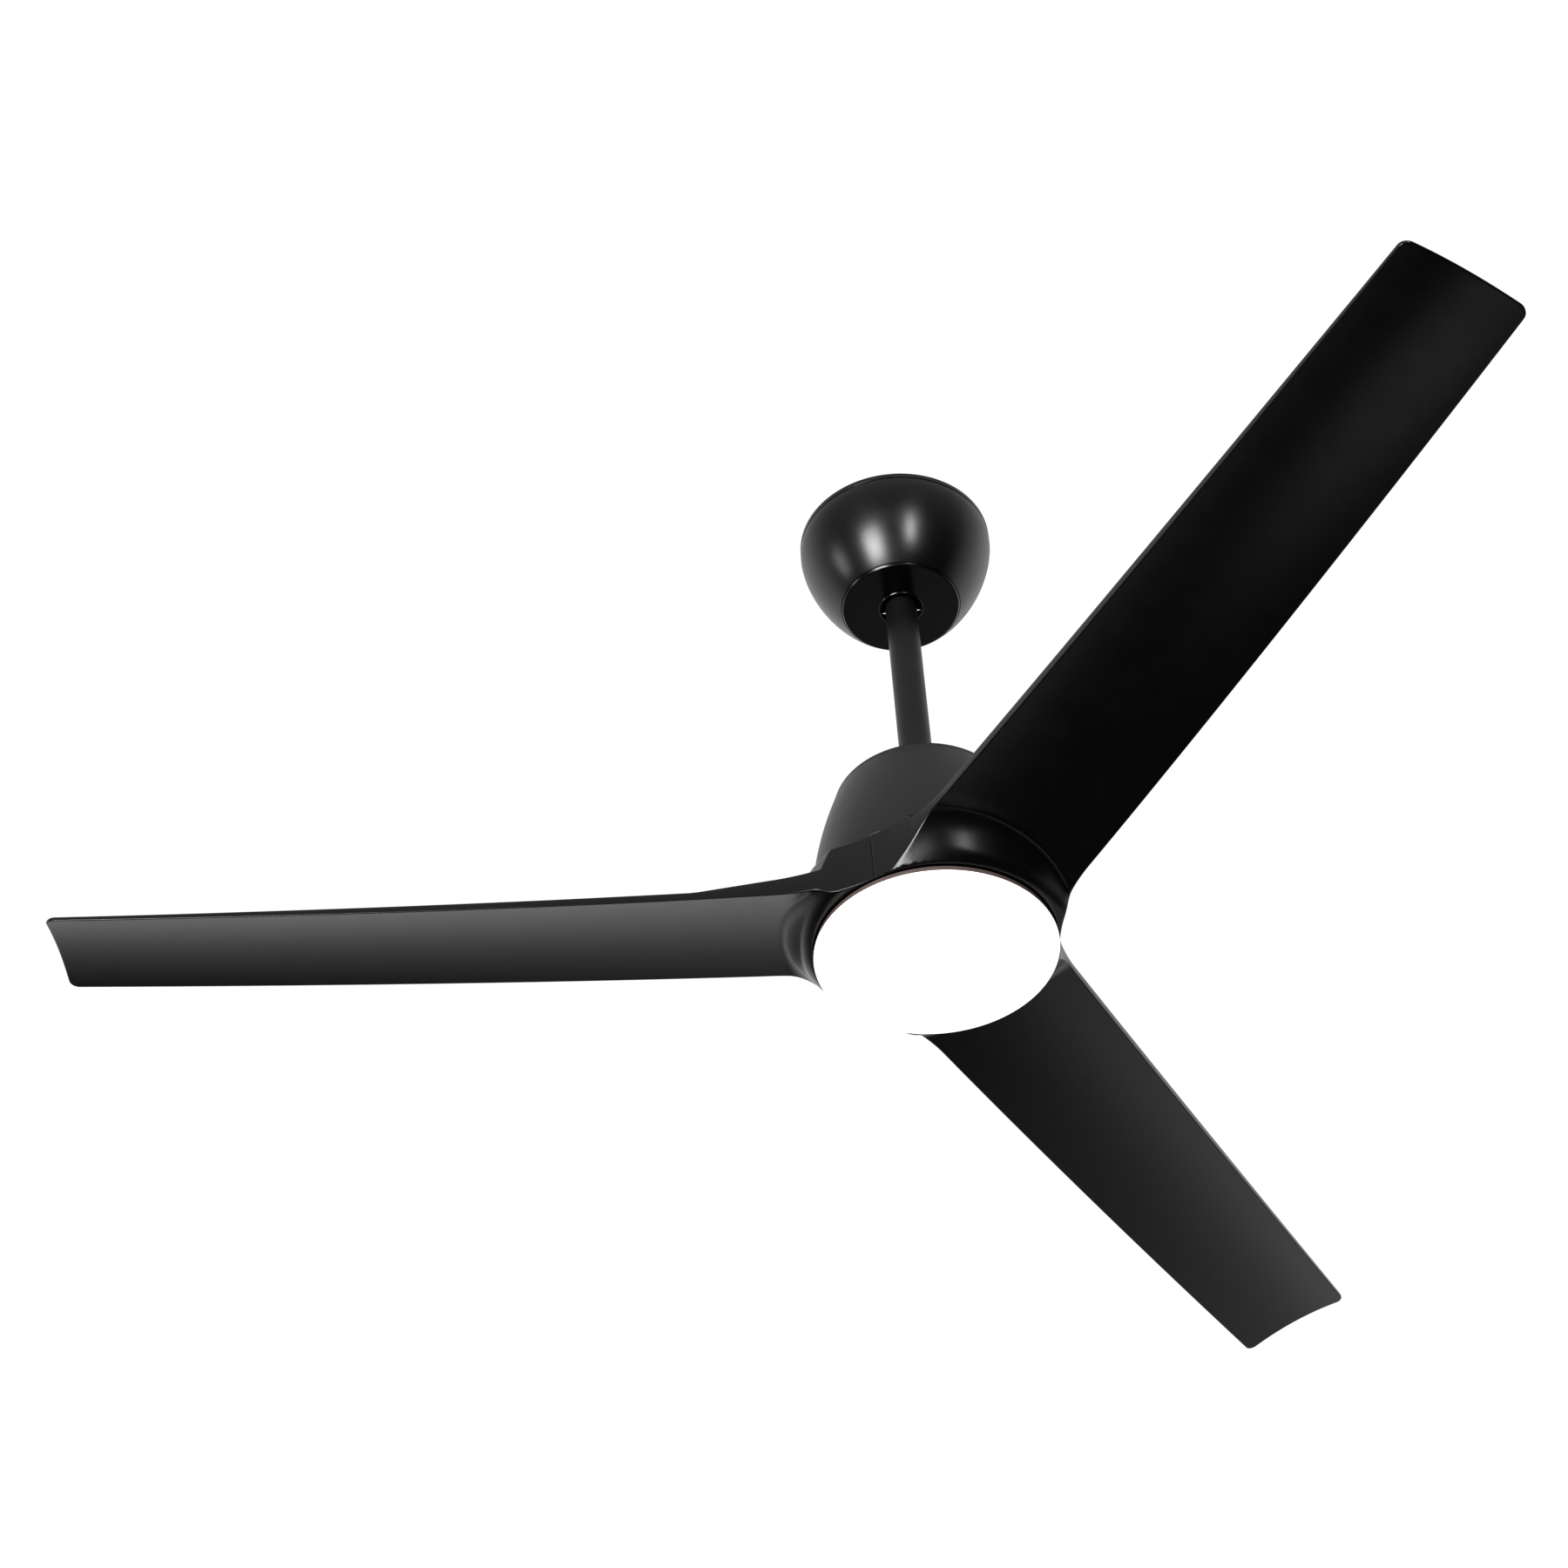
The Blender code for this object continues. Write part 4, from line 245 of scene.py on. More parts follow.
FINISHES: dict[str, Finish] = {
    "canopy_gloss": Finish("black_gloss_paint", (0.0010, 0.0010, 0.0011), 0.28, specular=0.47,
                           grain_size=0.0016, grain_depth=0.000008, mottle=0.06, edge_wear_and_sheen=0.25),
    "cover_matt": Finish("black_cover_moulding", (0.0012, 0.0012, 0.0012), 0.20, specular=0.34,
                         grain_size=0.0007, grain_depth=0.000012),
    "rod_satin": Finish("black_rod_coat", (0.0030, 0.0030, 0.0031), 0.38, specular=0.38,
                        grain_size=0.0006, grain_depth=0.000018),
    "housing_satin": Finish("black_housing_coat", (0.0045, 0.0045, 0.0046), 0.37, specular=0.48,
                            grain_size=0.0006, mottle=0.07),
    # On the blades the lighter edges are a painted edge highlight.
    "blade_satin": Finish("black_blade_moulding", (0.0010, 0.0010, 0.0011), 0.26, specular=0.38,
                          grain_size=0.0008, grain_depth=0.00001, mottle=0.08, edge_wear_and_sheen=0.5),
    "bezel_plastic": Finish("dark_bezel_moulding", (0.085, 0.058, 0.054), 0.42, specular=0.4,
                            grain_depth=0.00001),
    "opal_diffuser": Finish("opal_acrylic", (0.90, 0.90, 0.88), 0.40, specular=0.3, glow=1.15,
                            grain_size=0.0005, grain_depth=0.000006, mottle=0.01),
    "zinc_steel": Finish("zinc_plated_sheet", (0.52, 0.53, 0.54), 0.36, metallic=1.0,
                         grain=Grain.ACROSS_X, grain_size=0.0012, edge_wear_and_sheen=0.3),
    "screw_steel": Finish("zinc_plated_screw", (0.50, 0.50, 0.51), 0.33, metallic=1.0,
                          grain_size=0.0005, grain_depth=0.000015),
    "bright_steel": Finish("ground_steel", (0.60, 0.60, 0.61), 0.22, metallic=1.0,
                           grain=Grain.UP_Z, grain_size=0.0008, grain_depth=0.00001),
    "cast_alloy": Finish("die_cast_alloy", (0.42, 0.43, 0.44), 0.48, metallic=1.0,
                         grain_size=0.0014, grain_depth=0.00006, edge_wear_and_sheen=0.4),
    "nylon": Finish("natural_nylon", (0.74, 0.72, 0.66), 0.48, grain_size=0.0008),
    "inner_plastic": Finish("black_box_moulding", (0.020, 0.020, 0.021), 0.46,
                            grain_size=0.0007, grain_depth=0.00004, edge_wear_and_sheen=0.3),
    "lead_sheath": Finish("sleeved_leads", (0.20, 0.20, 0.21), 0.62, grain=Grain.LAYERED,
                          grain_depth=0.0001),
    "board_green": Finish("green_circuit_board", (0.03, 0.16, 0.07), 0.42, grain_size=0.0020,
                          grain_depth=0.00004, mottle=0.30),
    "board_white": Finish("white_solder_mask", (0.78, 0.78, 0.76), 0.45, grain_size=0.0020),
    "lamination": Finish("stacked_laminations", (0.24, 0.24, 0.26), 0.50, metallic=1.0,
                         grain=Grain.LAYERED, grain_size=0.0006, grain_depth=0.00012),
    "copper": Finish("enamelled_copper", (0.62, 0.25, 0.11), 0.33, metallic=1.0,
                     grain=Grain.LAYERED, grain_size=0.0006, grain_depth=0.0002, mottle=0.15),
    "magnet": Finish("ferrite", (0.07, 0.07, 0.08), 0.55, grain_size=0.0010, grain_depth=0.00004),
}
SLOT_OF: dict[str, str] = {
    row["node"]: row["material_slot"] for row in frame["record"]["subparts"]}


# ---- Mesh making
NO_TRIANGLES = np.zeros((0, 3), int)
ROUND_COLUMNS = 192

# Roundings of edges, from the sharpest to the softest.
HAIRLINE, CRISP, FINE, SOFT = 0.0001, 0.0002, 0.0003, 0.0004
EASED, FULL, ROLLED = 0.0005, 0.0006, 0.0007

# Distances below which two points are one point, and two levels are one level.
SAME_POINT = 1e-7
SAME_LEVEL = 1e-6


def signed_volume(points: Array, corners: Array) -> float:
    """Six times the volume inside triangles (n, 3), positive where they face outwards."""
    a, b, c = (points[corners[:, i]] for i in range(3))
    return float(np.einsum("ij,ij->i", a, np.cross(b, c)).sum())


def make_piece(name: str, points: Array, quads: Array, triangles: Array, *, body: str,
               stands_for: str) -> Object:
    """Put a closed surface into a mesh object, dress it and hang it on its body.

    Args:
        name: Name of the piece.
        points: Corner positions, (n, 3).
        quads: Corner numbers of the four-sided faces, (m, 4).
        triangles: Corner numbers of the three-sided faces, (k, 3).
        body: CAD body that the piece moves with.
        stands_for: CAD node that the piece replaces.

    Returns:
        The finished object, at the origin and unturned.
    """
    split = np.concatenate([quads[:, [0, 1, 2]], quads[:, [0, 2, 3]], triangles])
    if signed_volume(points, split) < 0:
        quads, triangles = quads[:, ::-1], triangles[:, ::-1]
    mesh = bpy.data.meshes.new(name)
    mesh.vertices.add(len(points))
    mesh.vertices.foreach_set("co", points.astype(np.float32).ravel())
    loops = np.concatenate([quads.ravel(), triangles.ravel()]).astype(np.int32)
    totals = np.concatenate([np.full(len(quads), 4), np.full(len(triangles), 3)])
    mesh.loops.add(len(loops))
    mesh.loops.foreach_set("vertex_index", loops)
    mesh.polygons.add(len(totals))
    mesh.polygons.foreach_set("loop_start", (np.cumsum(totals) - totals).astype(np.int32))
    mesh.update(calc_edges=True)
    mesh.validate()
    mesh.shade_smooth()
    piece = bpy.data.objects.new(name, mesh)
    bpy.context.scene.collection.objects.link(piece)
    slot = SLOT_OF[stands_for]
    mesh.materials.append(FINISHES[slot].material())
    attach(piece, body)
    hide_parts(stands_for)
    log.info("%s: %d faces, on %s", name, len(totals), body)
    return piece


def filleted(corners: list | Array, steps: int = 6) -> Array:
    """Closed outline with round corners.

    Each corner is (radius, level, rounding).  A round corner runs along a circular arc between
    the points where it meets its two sides, written as a rational curve of the second degree
    whose middle weight is the cosine of half the turn.

    Args:
        corners: Corners in order, each with the radius of its rounding, 0 for a sharp one.
        steps: Pieces of each arc.

    Returns:
        Points of the outline, (n, 2).
    """
    table = np.array(corners, float)
    corner, rounding = table[:, :2], table[:, 2]
    back = np.roll(corner, 1, axis=0) - corner
    ahead = np.roll(corner, -1, axis=0) - corner
    back /= np.linalg.norm(back, axis=1, keepdims=True)
    ahead /= np.linalg.norm(ahead, axis=1, keepdims=True)
    between = np.arccos(np.clip((back * ahead).sum(1), -1, 1))
    reach = (rounding / np.tan(between / 2))[:, None]
    weight = np.sin(between / 2)[:, None, None]
    t = np.linspace(0, 1, steps + 1)[None, :, None]
    first, middle, last = (1 - t) ** 2, 2 * t * (1 - t) * weight, t ** 2
    start, end = (corner + back * reach)[:, None], (corner + ahead * reach)[:, None]
    arcs = (start * first + corner[:, None] * middle + end * last) / (first + middle + last)
    points = arcs.reshape(-1, 2)
    apart = np.linalg.norm(points - np.roll(points, 1, axis=0), axis=1)
    return points[apart > SAME_POINT]


def guarded(outline: Array, margin: float = 0.0009) -> Array:
    """Outline with a point close to each end of every long side, so that shading stays flat there.

    Args:
        outline: Closed outline, (n, 2).
        margin: Distance of the added points from the ends.

    Returns:
        Outline with the added points.
    """
    ahead = np.roll(outline, -1, axis=0) - outline
    length = np.linalg.norm(ahead, axis=1, keepdims=True)
    share = margin / np.maximum(length, margin)
    near, far = outline + ahead * share, outline + ahead * (1 - share)
    rows = np.stack([outline, near, far], axis=1)
    keep = np.ones((len(outline), 3), bool)
    keep[:, 1:] = length > margin * 4
    return rows.reshape(-1, 2)[keep.ravel()]


def ring_faces(rows: int, columns: int) -> Array:
    """Quads of a grid that closes on itself both ways."""
    row, column = np.meshgrid(np.arange(rows), np.arange(columns), indexing="ij")
    next_row, next_column = (row + 1) % rows, (column + 1) % columns
    return np.stack([row * columns + column, row * columns + next_column,
                     next_row * columns + next_column, next_row * columns + column],
                    axis=-1).reshape(-1, 4)


def revolve(outline: Array, turns: Array, swell: Array | None = None) -> tuple[Array, Array]:
    """Carry a closed outline round the Z axis.

    A point is (radius cos turn, radius sin turn, level); swell adds to the radius per outline
    point and turn.

    Args:
        outline: Closed outline of (radius, level), (n, 2).
        turns: Angles of the columns in radians, (m,).
        swell: Change of radius, (n, m), or None.

    Returns:
        Points (n * m, 3) and quads.
    """
    radius = np.repeat(outline[:, :1], len(turns), axis=1)
    if swell is not None:
        radius = radius + swell
    level = np.repeat(outline[:, 1:], len(turns), axis=1)
    points = np.stack([radius * np.cos(turns), radius * np.sin(turns), level], axis=-1)
    return points.reshape(-1, 3), ring_faces(len(outline), len(turns))


def even_turns(count: int) -> Array:
    """Evenly spaced angles round a full turn."""
    return np.arange(count) * (2 * math.pi / count)


def make_lathe_piece(name: str, corners: list | Array, body: str, stands_for: str,
                     columns: int = ROUND_COLUMNS) -> Object:
    """Make a ring-shaped piece from its cross-section's corners, given as filleted takes them."""
    points, quads = revolve(guarded(filleted(corners)), even_turns(columns))
    return make_piece(name, points, quads, NO_TRIANGLES, body=body, stands_for=stands_for)


# ---- Canopy
@dataclass
class Canopy:
    """Dome on the ceiling: trim ring, spun shell and flat cover round the rod."""

    radius: float = 0.0801
    height: float = 0.0790
    foot_radius: float = 0.0479
    collar: float = 0.0105
    power: float = 1.527
    wall: float = 0.0015
    trim_height: float = 0.0050
    trim_wall: float = 0.0024
    seam: float = 0.0011
    gap: float = 0.0003
    cover_thickness: float = 0.0017
    screw_room: float = 0.0033
    flange_radius: float = 0.0300
    hole_radius: float = 0.0172
    lip_width: float = 0.0014
    lip_drop: float = 0.0009
    lip_crown: float = 0.62
    lip_roundings: Span = (0.00035, 0.00042)
    skirt_slip: float = 0.0006
    skirt_rise: float = 0.6
    outer_rows: int = 44
    inner_rows: int = 20
    body: str = "ceiling_mount"

    def dome_radius(self, level: Array) -> Array:
        """Radius at a level: sqrt(1 - (depth share) ** power) below a straight collar."""
        depth = np.maximum(-self.collar - level, 0.0)
        end = 1 - (self.foot_radius / self.radius) ** 2
        share = depth / (self.height - self.collar) * end ** (1 / self.power)
        return self.radius * np.sqrt(np.maximum(1 - share ** self.power, 0.0))

    def wall_points(self, first: float, last: float, offset: float, count: int) -> list:
        """Points down the dome, moved inwards by an offset, each with no rounding."""
        level = np.linspace(first, last, count)
        radius = self.dome_radius(level) - offset
        return [(r, z, 0.0) for r, z in zip(radius.tolist(), level.tolist())]

    def make_shell(self) -> None:
        """Shell: rounded upper edge, dome, and an inner flange for the canopy screws."""
        top = -self.trim_height - self.seam
        cover_top = -self.height + self.cover_thickness
        bottom = cover_top + self.gap
        flange = cover_top + self.screw_room
        foot = float(self.dome_radius(np.array(bottom)))
        flange_wall = float(self.dome_radius(np.array(flange))) - self.wall
        corners = [(self.radius, top, FINE)]
        corners += self.wall_points(-self.collar, bottom + SOFT, 0.0, self.outer_rows)
        corners += [(foot, bottom, CRISP), (foot - self.wall, bottom, CRISP),
                    (flange_wall, flange, FINE), (self.flange_radius, flange, SOFT),
                    (self.flange_radius, flange + self.wall, SOFT)]
        corners += self.wall_points(flange + self.wall, -self.collar, self.wall, self.inner_rows)
        corners += [(self.radius - self.wall, top, FINE)]
        make_lathe_piece("canopy_dome", corners, self.body, "canopy_shell")

    def make_trim(self) -> None:
        """Trim ring between the dome and the ceiling."""
        inner = self.radius - self.trim_wall
        corners = [(self.radius, -self.gap, FULL), (self.radius, -self.trim_height, FINE),
                   (inner, -self.trim_height, FINE), (inner, -self.gap, FINE)]
        make_lathe_piece("canopy_rim_ring", corners, self.body, "canopy_trim_ring")

    def make_cover(self) -> None:
        """Cover: flat disc with a round bead at its hole and a snap skirt in the shell."""
        top = -self.height + self.cover_thickness
        edge = float(self.dome_radius(np.array(top))) - self.gap
        skirt = edge - self.wall - self.skirt_slip
        inner = skirt - self.cover_thickness / 2
        rise = top + self.screw_room * self.skirt_rise
        bead = -self.height - self.lip_drop
        near, far = self.lip_roundings
        corners = [(self.hole_radius, top, EASED), (self.hole_radius, bead, near),
                   (self.hole_radius + self.lip_width * self.lip_crown, bead, far),
                   (self.hole_radius + self.lip_width, -self.height, FINE),
                   (self.foot_radius, -self.height, EASED), (edge, top, HAIRLINE),
                   (skirt, top, HAIRLINE), (skirt, rise, FINE), (inner, rise, FINE),
                   (inner, top, HAIRLINE)]
        make_lathe_piece("canopy_flat_cover", corners, self.body, "canopy_cover")

    def build(self) -> None:
        """Make the three canopy pieces."""
        self.make_shell()
        self.make_trim()
        self.make_cover()


# ---- Stem
@dataclass
class Stem:
    """What hangs from the ball: rod, and the bell-shaped motor housing."""

    rod_radius: float = 0.0131
    rod_wall: float = 0.0022
    roof_level: float = -0.3037
    skirt_level: float = -0.4095
    shoulder: float = 0.0060
    top_radius: float = 0.0688
    skirt_radius: float = 0.0900
    flare: float = 1.75
    wall: float = 0.0020
    roof_hole: float = 0.0145
    rod_columns: int = 96
    shoulder_steps: int = 12
    inner_shoulder_steps: int = 6
    wall_rows: int = 40
    body: str = "stem"

    def make_rod(self) -> None:
        """Straight tube with rounded ends, from the ball to the yoke."""
        low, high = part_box("downrod")
        inner = self.rod_radius - self.rod_wall
        corners = [(self.rod_radius, high.z, FULL), (self.rod_radius, low.z, FULL),
                   (inner, low.z, SOFT), (inner, high.z, SOFT)]
        make_lathe_piece("hanging_rod", corners, self.body, "downrod", self.rod_columns)

    def wall_radius(self, level: Array) -> Array:
        """Radius under the shoulder: it widens by 1 - (1 - depth share) ** flare."""
        top = self.roof_level - self.shoulder
        share = np.clip((top - level) / (top - self.skirt_level), 0, 1)
        return self.top_radius + (self.skirt_radius - self.top_radius) * (1 - (1 - share) ** self.flare)

    def shoulder_points(self, radius: float, steps: int) -> Array:
        """Quarter of a circle round the shoulder's centre, with no further rounding."""
        angle = np.linspace(0, math.pi / 2, steps + 1)
        out = self.top_radius - self.shoulder + radius * np.cos(angle)
        up = self.roof_level - self.shoulder + radius * np.sin(angle)
        return np.stack([out, up, 0 * angle], axis=1)

    def make_housing(self) -> None:
        """Bell: flat roof, round shoulder, flaring wall with a rolled lower lip."""
        top = self.roof_level - self.shoulder
        down = np.linspace(0, 1, self.wall_rows + 1)[1:]
        level = top + (self.skirt_level - top) * down
        outer = np.stack([self.wall_radius(level), level, 0 * level], axis=1)
        inner = outer[::-2] - [self.wall, 0, 0]
        outer[-1, 2], inner[0, 2] = ROLLED, EASED
        parts = [
            [[self.roof_hole, self.roof_level, FULL]],
            self.shoulder_points(self.shoulder, self.shoulder_steps)[::-1],
            outer,
            inner,
            self.shoulder_points(self.shoulder - self.wall, self.inner_shoulder_steps),
            [[self.roof_hole, self.roof_level - self.wall, EASED]],
        ]
        make_lathe_piece("motor_bell", np.concatenate(parts), self.body, "motor_housing")

    def build(self) -> None:
        """Make the rod and the housing."""
        self.make_rod()
        self.make_housing()


# ---- Blades
def round_off(distance: Array, rounding: float) -> Array:
    """Height lost near an edge: rounding - sqrt(rounding^2 - (rounding - distance)^2)."""
    inside = rounding - np.clip(distance, 0, rounding)
    return rounding - np.sqrt(np.maximum(rounding ** 2 - inside ** 2, 0.0))


def smooth_min(first: Array, second: Array, reach: float) -> Array:
    """Smaller of two values, rounded where they are nearly equal."""
    blend = np.maximum(reach - np.abs(first - second), 0.0) / reach
    return np.minimum(first, second) - blend ** 2 * reach / 4


@dataclass
class Blades:
    """Three blades, each moulded with its third of the hub ring."""

    count: int = 3
    first_angle: float = 64.55
    ring_top: float = -0.4120
    rim_level: float = -0.4557
    hub_radius: float = 0.0925
    bore: float = 0.0835
    flange_radius: float = 0.0420
    flange_thickness: float = 0.0045
    split_gap: float = 0.0003
    tip_radius: float = 0.6590
    half_width_at_axis: float = 0.0625
    taper: float = 0.0229
    tip_corner: float = 0.0070
    trailing_depth: float = 0.0366
    leading_depth: float = 0.0122
    rise_start: float = 0.1200
    trailing_rise: float = 0.0205
    leading_rise: float = 0.0128
    rise_power: float = 1.7
    camber: float = 0.10
    root_thickness: float = 0.0073
    tip_thickness: float = 0.0037
    thinning_power: float = 1.8
    tip_thinning: float = 0.0016
    boss_skew: float = 0.0036
    boss_radius: float = 0.0095
    boss_turn: float = 65.0
    boss_blend: float = 0.0120
    edge_boss_start: float = 0.0020
    edge_boss_rise: float = 0.69
    edge_boss_power: float = 0.8
    step_width: float = 0.0087
    step_slope: float = 3.7
    ramp_drop: float = 0.0173
    ramp_slope: float = 0.1417
    nearest: float = 0.0927
    top_blend: float = 0.0016
    edge_rounding: float = 0.0009
    split_rounding: float = 0.00025
    edge_steps: int = 6
    flat_rows: tuple[float, ...] = (0.0016, 0.0030)
    corner_rows: tuple[float, ...] = (0.0042, 0.0055, 0.0070)
    hub_rows: tuple[float, ...] = (0.0895, 0.0880, 0.0865)
    blade_rows: int = 64
    blade_row_power: float = 1.35
    fillet_rows: int = 56
    fillet_bend_power: float = 1.2
    inner_columns: int = 29
    flange_step: float = 0.0020
    flange_bevel: float = 0.0008
    body: str = "rotor"
    edge_offsets: Array = field(init=False)

    def __post_init__(self) -> None:
        """Work out the rows that follow a rounded edge, even in angle, with two flat ones."""
        angle = np.linspace(0, math.pi / 2, self.edge_steps + 1)
        rounded = self.edge_rounding * (1 - np.cos(angle))
        self.edge_offsets = np.concatenate([rounded, self.flat_rows])

    @property
    def half_pitch(self) -> float:
        """Half the angle between two blades."""
        return math.pi / self.count

    def half_width(self, along: Array) -> Array:
        """Half the blade's width at a distance along its axis."""
        return self.half_width_at_axis - self.taper * along

    def sweep(self, along: Array) -> Array:
        """0 at the root and 1 at the tip."""
        return np.maximum(along - self.rise_start, 0.0) / (self.tip_radius - self.rise_start)

    def share(self, along: Array, across: Array) -> Array:
        """-1 at the high, leading edge and 1 at the low, trailing edge."""
        return np.clip(across / self.half_width(along), -1, 1)

    def plain_underside(self, along: Array, across: Array) -> Array:
        """Underside without the hub: sloped across, swept up to the tip, hollow in between."""
        share, sweep = self.share(along, across), self.sweep(along) ** self.rise_power
        low = self.ring_top - self.trailing_depth + self.trailing_rise * sweep
        high = self.ring_top - self.leading_depth + self.leading_rise * sweep
        hollow = self.camber * self.half_width(along) * (1 - share ** 2)
        return high + (low - high) * (1 + share) / 2 + hollow

    def underside(self, along: Array, across: Array) -> Array:
        """Underside with the hub's boss: a round shoulder above the rim, filleted to the blade.

        The shoulder is a circular arc that runs on as a straight slope; towards the high edge it
        gives way to a hollow curve, rise * out ** (less than 1), which leaves the rim steeply.
        """
        share, reach = self.share(along, across), np.hypot(along, across)
        out = np.maximum(reach - self.hub_radius - self.boss_skew * np.maximum(share, 0), 0)
        turn = math.radians(self.boss_turn)
        arc = np.minimum(out, self.boss_radius * math.sin(turn))
        shoulder = (self.boss_radius - np.sqrt(self.boss_radius ** 2 - arc ** 2)
                    + (out - arc) * math.tan(turn))
        past_rim = np.maximum(reach - self.hub_radius - self.edge_boss_start, 0)
        hollow = self.edge_boss_rise * past_rim ** self.edge_boss_power
        boss = self.rim_level + shoulder + (hollow - shoulder) * np.maximum(-share, 0) ** 2
        blade = smooth_min(self.plain_underside(along, across), boss, self.boss_blend)
        return np.maximum(blade, self.rim_level)

    def topside(self, along: Array, across: Array) -> Array:
        """Top: the blade's thickness, a ramp by the low edge, the ring's flat top and its step."""
        reach = np.hypot(along, across)
        thick = self.tip_thickness + (self.root_thickness - self.tip_thickness) * (
            1 - self.sweep(along) ** self.thinning_power)
        corner = np.maximum(along - self.tip_radius + self.tip_corner, 0) / self.tip_corner
        blade = self.plain_underside(along, across) + thick - self.tip_thinning * corner ** 2
        step = self.ring_top - self.step_slope * np.maximum(
            reach - self.hub_radius - self.step_width, 0)
        foot = self.hub_radius + self.step_width + self.ramp_drop / self.step_slope
        ramp = self.ring_top - self.ramp_drop - self.ramp_slope * (reach - foot)
        open_top = np.maximum(blade, ramp)
        top = -smooth_min(-step, -open_top, self.top_blend)
        return np.minimum(top, np.maximum(open_top, self.ring_top))

    def root_arc(self) -> tuple[float, float, float]:
        """Fillet in plan between neighbouring blades: its tangent point, centre and radius."""
        half_pitch, slant = self.half_pitch, math.atan(self.taper)
        opening = half_pitch + slant
        corner = self.half_width_at_axis / (
            math.sin(half_pitch) + self.taper * math.cos(half_pitch))
        radius = (self.nearest - corner) / (1 / math.sin(opening) - 1)
        centre = corner + radius / math.sin(opening)
        tangent = corner * math.cos(half_pitch) + radius / math.tan(opening) * math.cos(slant)
        return tangent, centre, radius

    def edge_distance(self, along: Array, across: Array) -> tuple[Array, Array]:
        """Distance in plan to the outline, and to the split line between two blades."""
        tangent, centre, radius = self.root_arc()
        side = np.abs(across)
        slant = math.cos(math.atan(self.taper))
        straight = (self.half_width(along) - side) * slant
        past_x = along - (self.tip_radius - self.tip_corner)
        past_y = side - (self.half_width(along) - self.tip_corner)
        round_corner = self.tip_corner - np.hypot(past_x, past_y)
        square = np.minimum(straight, self.tip_radius - along)
        blade = np.where((past_x > 0) & (past_y > 0), round_corner, square)
        arc = np.hypot(along - centre * math.cos(self.half_pitch),
                       side - centre * math.sin(self.half_pitch)) - radius
        outline = np.where(along > tangent, blade, arc)
        turn = self.half_pitch - np.arctan2(side, along)
        split = np.hypot(along, across) * np.sin(np.clip(turn, 0, 1)) - self.split_gap
        return outline, split

    def stations(self) -> tuple[Array, Array, Array]:
        """Rows from the tip to the bore.

        Returns:
            Reach of each row at its ends, the angle there, and how straight the row is: 1 for a
            row square to the blade, 0 for one round the hub.
        """
        corner_start = self.tip_radius - self.tip_corner
        inward = np.concatenate([self.edge_offsets, self.corner_rows])
        phi = np.arcsin(1 - inward / self.tip_corner)
        along = corner_start + self.tip_corner * np.sin(phi)
        half = self.half_width(along) - self.tip_corner * (1 - np.cos(phi))
        tangent, centre, radius = self.root_arc()
        share = 1 - (1 - np.linspace(0, 1, self.blade_rows + 1)[1:]) ** self.blade_row_power
        straight_along = corner_start + (tangent - corner_start) * share
        along = np.concatenate([along, straight_along])
        half = np.concatenate([half, self.half_width(straight_along)])
        reach, end = np.hypot(along, half), np.arctan2(half, along)
        straight = np.ones(len(reach))
        centre_x, centre_y = centre * math.cos(self.half_pitch), centre * math.sin(self.half_pitch)
        first = math.atan2(float(self.half_width(np.array(tangent))) - centre_y, tangent - centre_x)
        share = np.linspace(0, 1, self.fillet_rows + 1)[1:]
        angle = first + (self.half_pitch - math.pi - first) * share
        x, y = centre_x + radius * np.cos(angle), centre_y + radius * np.sin(angle)
        reach, end = np.append(reach, np.hypot(x, y)), np.append(end, np.arctan2(y, x))
        straight = np.append(straight, (1 - share) ** self.fillet_bend_power)
        bore_edge = self.bore + self.edge_offsets[:-1][::-1]
        ring = np.concatenate([self.nearest - self.edge_offsets[1:-1], self.hub_rows, bore_edge])
        reach, end = np.append(reach, ring), np.append(end, np.full(len(ring), self.half_pitch))
        straight = np.append(straight, np.zeros(len(ring)))
        return reach, np.minimum(end, self.half_pitch - self.split_gap / reach), straight

    def plan(self) -> tuple[Array, Array]:
        """Plan grid of the blade: columns close together by the edges, even in between."""
        reach, end, straight = self.stations()
        near = self.edge_offsets[None, :] * (np.cos(end) ** straight / reach)[:, None]
        even = np.linspace(-1, 1, self.inner_columns + 2)[None, 1:-1]
        inner = even * (end[:, None] - near[:, -1:])
        angle = np.concatenate([near - end[:, None], inner, (end[:, None] - near)[:, ::-1]], axis=1)
        radius = reach[:, None] * (np.cos(end[:, None]) / np.cos(angle)) ** straight[:, None]
        return radius * np.cos(angle), radius * np.sin(angle)

    def levels(self, x: Array, y: Array) -> tuple[Array, Array]:
        """Top and underside levels with rounded edges."""
        outline, split = self.edge_distance(x, y)
        lost = np.maximum(round_off(outline, self.edge_rounding),
                          round_off(split, self.split_rounding))
        bore = round_off(np.hypot(x, y) - self.bore, self.edge_rounding)
        low = self.underside(x, y) + np.maximum(lost, bore)
        return self.topside(x, y) - lost, low

